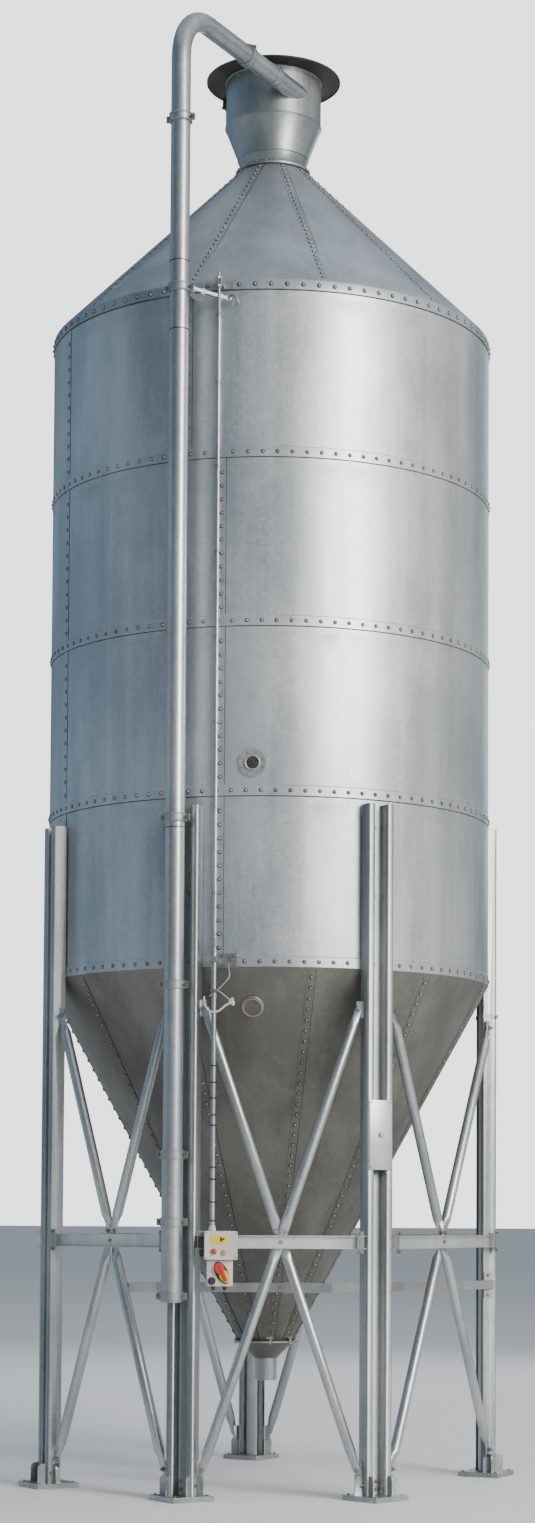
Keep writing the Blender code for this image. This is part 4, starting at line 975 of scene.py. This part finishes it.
def dress_control_box(place):
    rounded(redressed("control_box", BOX_GREY, 0.0), 0.003)
    face = box_face("control_box", place)
    bm = bmesh.new()
    cube(bm, (0.186, 0.160, 0.010), at(face, 0.0, 0.0, 0.0052))
    inner = [f for f in bm.faces if f.calc_area() > 0.02 and f.calc_center_median().dot(
        face.to_3x3() @ UP) > (face.translation + face.to_3x3() @ UP * 0.005).dot(
            face.to_3x3() @ UP)]
    bmesh.ops.inset_region(bm, faces=inner, thickness=0.010)
    bmesh.ops.translate(bm, verts=list({v for f in inner for v in f.verts}),
                        vec=face.to_3x3() @ UP * -0.004)
    rounded(keep("control_box_lid", bm, BOX_GREY), 0.002)
    bm = bmesh.new()
    cube(bm, (0.100, 0.044, 0.004), at(face, -0.009, 0.034, 0.0075))
    rounded(keep("control_box_panel", bm, LABEL_YELLOW), 0.001)
    bm = bmesh.new()
    cube(bm, (0.012, 0.026, 0.0030), at(face, 0.000, 0.034, 0.0095))
    cube(bm, (0.012, 0.012, 0.0030), at(face, 0.014, 0.036, 0.0095))
    keep("panel_switch", bm, BLACK)
    for name, x, y, radius, finish in (("stop_button", -0.040, -0.034, 0.017, BUTTON_RED),
                                       ("start_button", 0.017, -0.040, 0.015, BUTTON_AMBER)):
        spot = at(face, x, y, 0.0062)
        outline = ((0.0, 0.014), (radius * 0.7, 0.013), (radius * 0.95, 0.010), (radius, 0.006),
                   (radius, 0.0), (0.0, 0.0))
        turned(name, outline, finish, spot, 32, False)
        ring = ((radius + 0.003, 0.003), (radius + 0.0035, 0.0), (radius + 0.0005, 0.0),
                (radius + 0.0005, 0.003))
        turned(name + "_ring", ring, BOX_GREY, spot, 32)
    bm = bmesh.new()
    for x in (-0.084, 0.084):
        for y in (-0.071, 0.071):
            drum(bm, 0.0045, 0.0025, at(face, x, y, 0.0100), 12)
    keep("control_box_screws", bm, BOLT)
    bm = bmesh.new()
    cube(bm, (0.030, 0.064, 0.040), at(face, -0.113, 0.018, -0.060))
    cube(bm, (0.022, 0.040, 0.050), at(face, -0.108, -0.045, -0.070))
    rounded(keep("box_side_bracket", bm, LID), 0.003)


def dress_isolator(place):
    rounded(redressed("isolator_box", BOX_GREY, 0.0), 0.010, 3)
    face = box_face("isolator_box", place)
    spot = at(face, 0.012, 0.002, 0.0, 28.0)
    bm = bmesh.new()
    oval(bm, spot, 0.072, 0.138, 0.006)
    keep("isolator_surround", bm, BLACK, 40.0)
    bm = bmesh.new()
    oval(bm, at(spot, 0.004, -0.024, 0.006), 0.056, 0.080, 0.010)
    keep("isolator_plate", bm, LABEL_YELLOW, 40.0)
    bm = bmesh.new()
    oval(bm, at(spot, -0.002, 0.026, 0.006), 0.056, 0.076, 0.020)
    cube(bm, (0.020, 0.100, 0.014), at(spot, 0.004, -0.004, 0.022, -8.0))
    rounded(keep("isolator_handle", bm, BUTTON_RED, 40.0), 0.003)
    bm = bmesh.new()
    drum(bm, 0.023, 0.020, at(face, -0.045, -0.045), 28, 0.020)
    drum(bm, 0.014, 0.030, at(face, -0.045, -0.045), 20, 0.012)
    keep("isolator_knob", bm, BLACK)
    low, high = extent("isolator_box", place)
    foot = place @ Vector(((low.x + high.x) / 2.0, (low.y + high.y) / 2.0, low.z))
    bm = bmesh.new()
    for aside in (-0.036, 0.030):
        gland = stand(foot + (place.to_3x3() @ Vector((1, 0, 0))) * aside,
                      Vector((1, 0, 0)), Vector((0, -1, 0)), -UP)
        drum(bm, 0.015, 0.012, gland, 6)
        drum(bm, 0.012, 0.024, gland, 20, 0.009)
    keep("isolator_glands", bm, BLACK)
    bm = bmesh.new()
    base = Matrix.Translation(CONDUIT + UP * 1.4975)
    drum(bm, 0.024, 0.018, base, 6)
    drum(bm, 0.020, 0.032, base, 20, 0.017)
    keep("conduit_gland", bm, BOX_GREY)


def dress_boxes():
    place, _ = bay(LEGS[1], LEGS[2])
    dress_control_box(place)
    dress_isolator(place)


def bent(name, base, offsets, radius, finish):
    """Bent steel rod through offsets (sideways, outward, up) from a point on the conduit."""
    outward, sideways = around(CONDUIT_BEARING)
    points = [base + sideways * x + outward * y + UP * z for x, y, z in offsets]
    return wire_path(name, smooth_route(points), radius, finish)


def dress_top_bracket():
    outward, sideways = around(CONDUIT_BEARING)
    base = CONDUIT + UP * 7.020
    upright = stand(base, sideways, outward, UP)
    bm = bmesh.new()
    drum(bm, 0.0085, 0.250, upright @ Matrix.Translation((0.0, 0.0, -0.190)), 12)
    drum(bm, 0.0135, 0.030, upright @ Matrix.Translation((0.0, 0.0, -0.185)), 12, 0.0110)
    for height in (-0.029, 0.018):
        drum(bm, 0.0190, 0.010, upright @ Matrix.Translation((0.0, 0.0, height)), 6)
    keep("stay_rod", bm, BRACKET)
    start = PIPE_FOOT + UP * 6.966 + around(PIPE_BEARING)[1] * 0.074
    end = CONDUIT + UP * 6.926 + sideways * 0.066 - outward * 0.040
    along = (end - start).normalized()
    across = along.cross(UP).normalized()
    bar = stand(start.lerp(end, 0.5), along, across, across.cross(along))
    length = (end - start).length
    bm = bmesh.new()
    cube(bm, (length, 0.006, 0.020), bar)
    cube(bm, (length, 0.022, 0.005), bar @ Matrix.Translation((0.0, -0.008, -0.0075)))
    rounded(keep("eave_stay", bm, BRACKET), 0.0010)
    nuts = [bar @ Matrix.Translation((x, 0.0, 0.0)) @ Matrix.Rotation(math.radians(90.0), 4, "X")
            for x in (-length / 2.0 + 0.020, -0.050, length / 2.0 - 0.060, length / 2.0 - 0.020)]
    nuts = [n @ Matrix.Translation((0.0, 0.0, 0.003)) for n in nuts]
    bolts("eave_stay_bolts", nuts, BOLT, "stud", 0.012)
    bent("eave_hook", base - UP * 0.092 - sideways * 0.024, ((0.075, -0.030, 0.004), (0.100, -0.010, 0.012),
                             (0.124, -0.004, -0.004), (0.136, -0.012, -0.030),
                             (0.122, -0.030, -0.044)), 0.0065, BRACKET)


def dress_foot_bracket():
    base = CONDUIT + UP * 3.056
    face, _ = around(CONDUIT_BEARING)
    sideways = around(CONDUIT_BEARING)[1]
    seat = AXIS + face * 1.3905 + UP * 3.056 + sideways * 0.060
    front = stand(seat, sideways, UP, face)
    places = [at(front, x, y) for x in (-0.020, 0.048) for y in (-0.028, 0.028)]
    places += [at(front, 0.014, 0.020), at(front, 0.030, 0.006)]
    bolts("foot_bracket_bolts", places, BOLT, "stud", 0.0085)
    bent("foot_rod_upper", base, ((0.075, -0.052, -0.020), (0.078, -0.030, -0.052),
                                  (0.086, -0.012, -0.100), (0.050, 0.004, -0.150),
                                  (0.004, 0.020, -0.196), (-0.024, 0.020, -0.214)),
         0.0052, BRACKET)
    bent("foot_rod_lower", base, ((-0.056, 0.008, -0.214), (-0.050, 0.014, -0.262),
                                  (-0.014, 0.022, -0.302), (0.030, 0.018, -0.300),
                                  (0.072, 0.010, -0.266), (0.112, 0.004, -0.250)),
         0.0058, BOX_GREY)
    bent("foot_rod_middle", base, ((0.004, 0.022, -0.176), (0.034, 0.022, -0.186),
                                   (0.070, 0.014, -0.214), (0.110, 0.004, -0.248)),
         0.0052, BRACKET)
    tip = base + sideways * 0.106 + face * 0.004 - UP * 0.249
    bm = bmesh.new()
    plug = stand(tip, sideways, UP, face)
    cube(bm, (0.034, 0.022, 0.020), at(plug, 0.0, 0.0, 0.0, -35.0))
    cube(bm, (0.014, 0.046, 0.014), at(plug, 0.006, 0.004, 0.0, 10.0))
    rounded(keep("foot_rod_clip", bm, BOX_GREY), 0.003)
    bm = bmesh.new()
    for height in (-0.178, -0.210, -0.300):
        grip = stand(base + UP * (height - 0.007), sideways, face, UP)
        spun(bm, ((0.0195, 0.014), (0.0195, 0.0), (0.0155, 0.0), (0.0155, 0.014)), grip, 24)
    keep("foot_rod_grips", bm, BRACKET)


def dress_conduit():
    redressed("conduit", TUBE, 0.0, 50.0)
    redressed("conduit_riser", TUBE, 0.0, 50.0)
    for name in ("conduit_bracket_top", "conduit_bracket_foot"):
        redressed(name, BRACKET, 0.001)
    outward, sideways = around(CONDUIT_BEARING)
    bm = bmesh.new()
    for height in (1.555, 1.662, 1.792, 1.861, 2.102, 2.161, 2.257, 2.348, 2.443):
        spot = stand(CONDUIT + UP * (height - 0.004), sideways, outward, UP)
        spun(bm, ((0.0172, 0.008), (0.0172, 0.0), (0.0153, 0.0), (0.0153, 0.008)), spot, 24)
        cube(bm, (0.010, 0.007, 0.007), spot @ Matrix.Translation((0.0185, 0.0, 0.004)))
    rounded(keep("conduit_ties", bm, LID), 0.0006)
    bm = bmesh.new()
    for height in (3.45, 3.95, 4.45, 4.95, 5.45, 5.95, 6.45, 6.85):
        spot = stand(RISER + UP * (height - 0.010), sideways, outward, UP)
        spun(bm, ((0.0125, 0.020), (0.0125, 0.0), (0.0093, 0.0), (0.0093, 0.020)), spot, 20)
        cube(bm, (0.044, 0.0035, 0.020), spot @ Matrix.Translation((0.0, -0.0085, 0.010)))
    rounded(keep("riser_clips", bm, BRACKET), 0.0008)
    route = [CONDUIT + UP * 3.094, CONDUIT + UP * 3.115, CONDUIT.lerp(RISER, 0.5) + UP * 3.150,
             RISER + UP * 3.185, RISER + UP * 3.215]
    wire_path("conduit_offset", smooth_route(route), 0.0102, TUBE, 10)
    dress_top_bracket()
    dress_foot_bracket()


set_stage()
dress_shell()
dress_cones()
dress_cyclone()
dress_outlet()
dress_legs()
dress_bays()
dress_lower_frame()
dress_pipe()
dress_glasses()
dress_boxes()
dress_conduit()
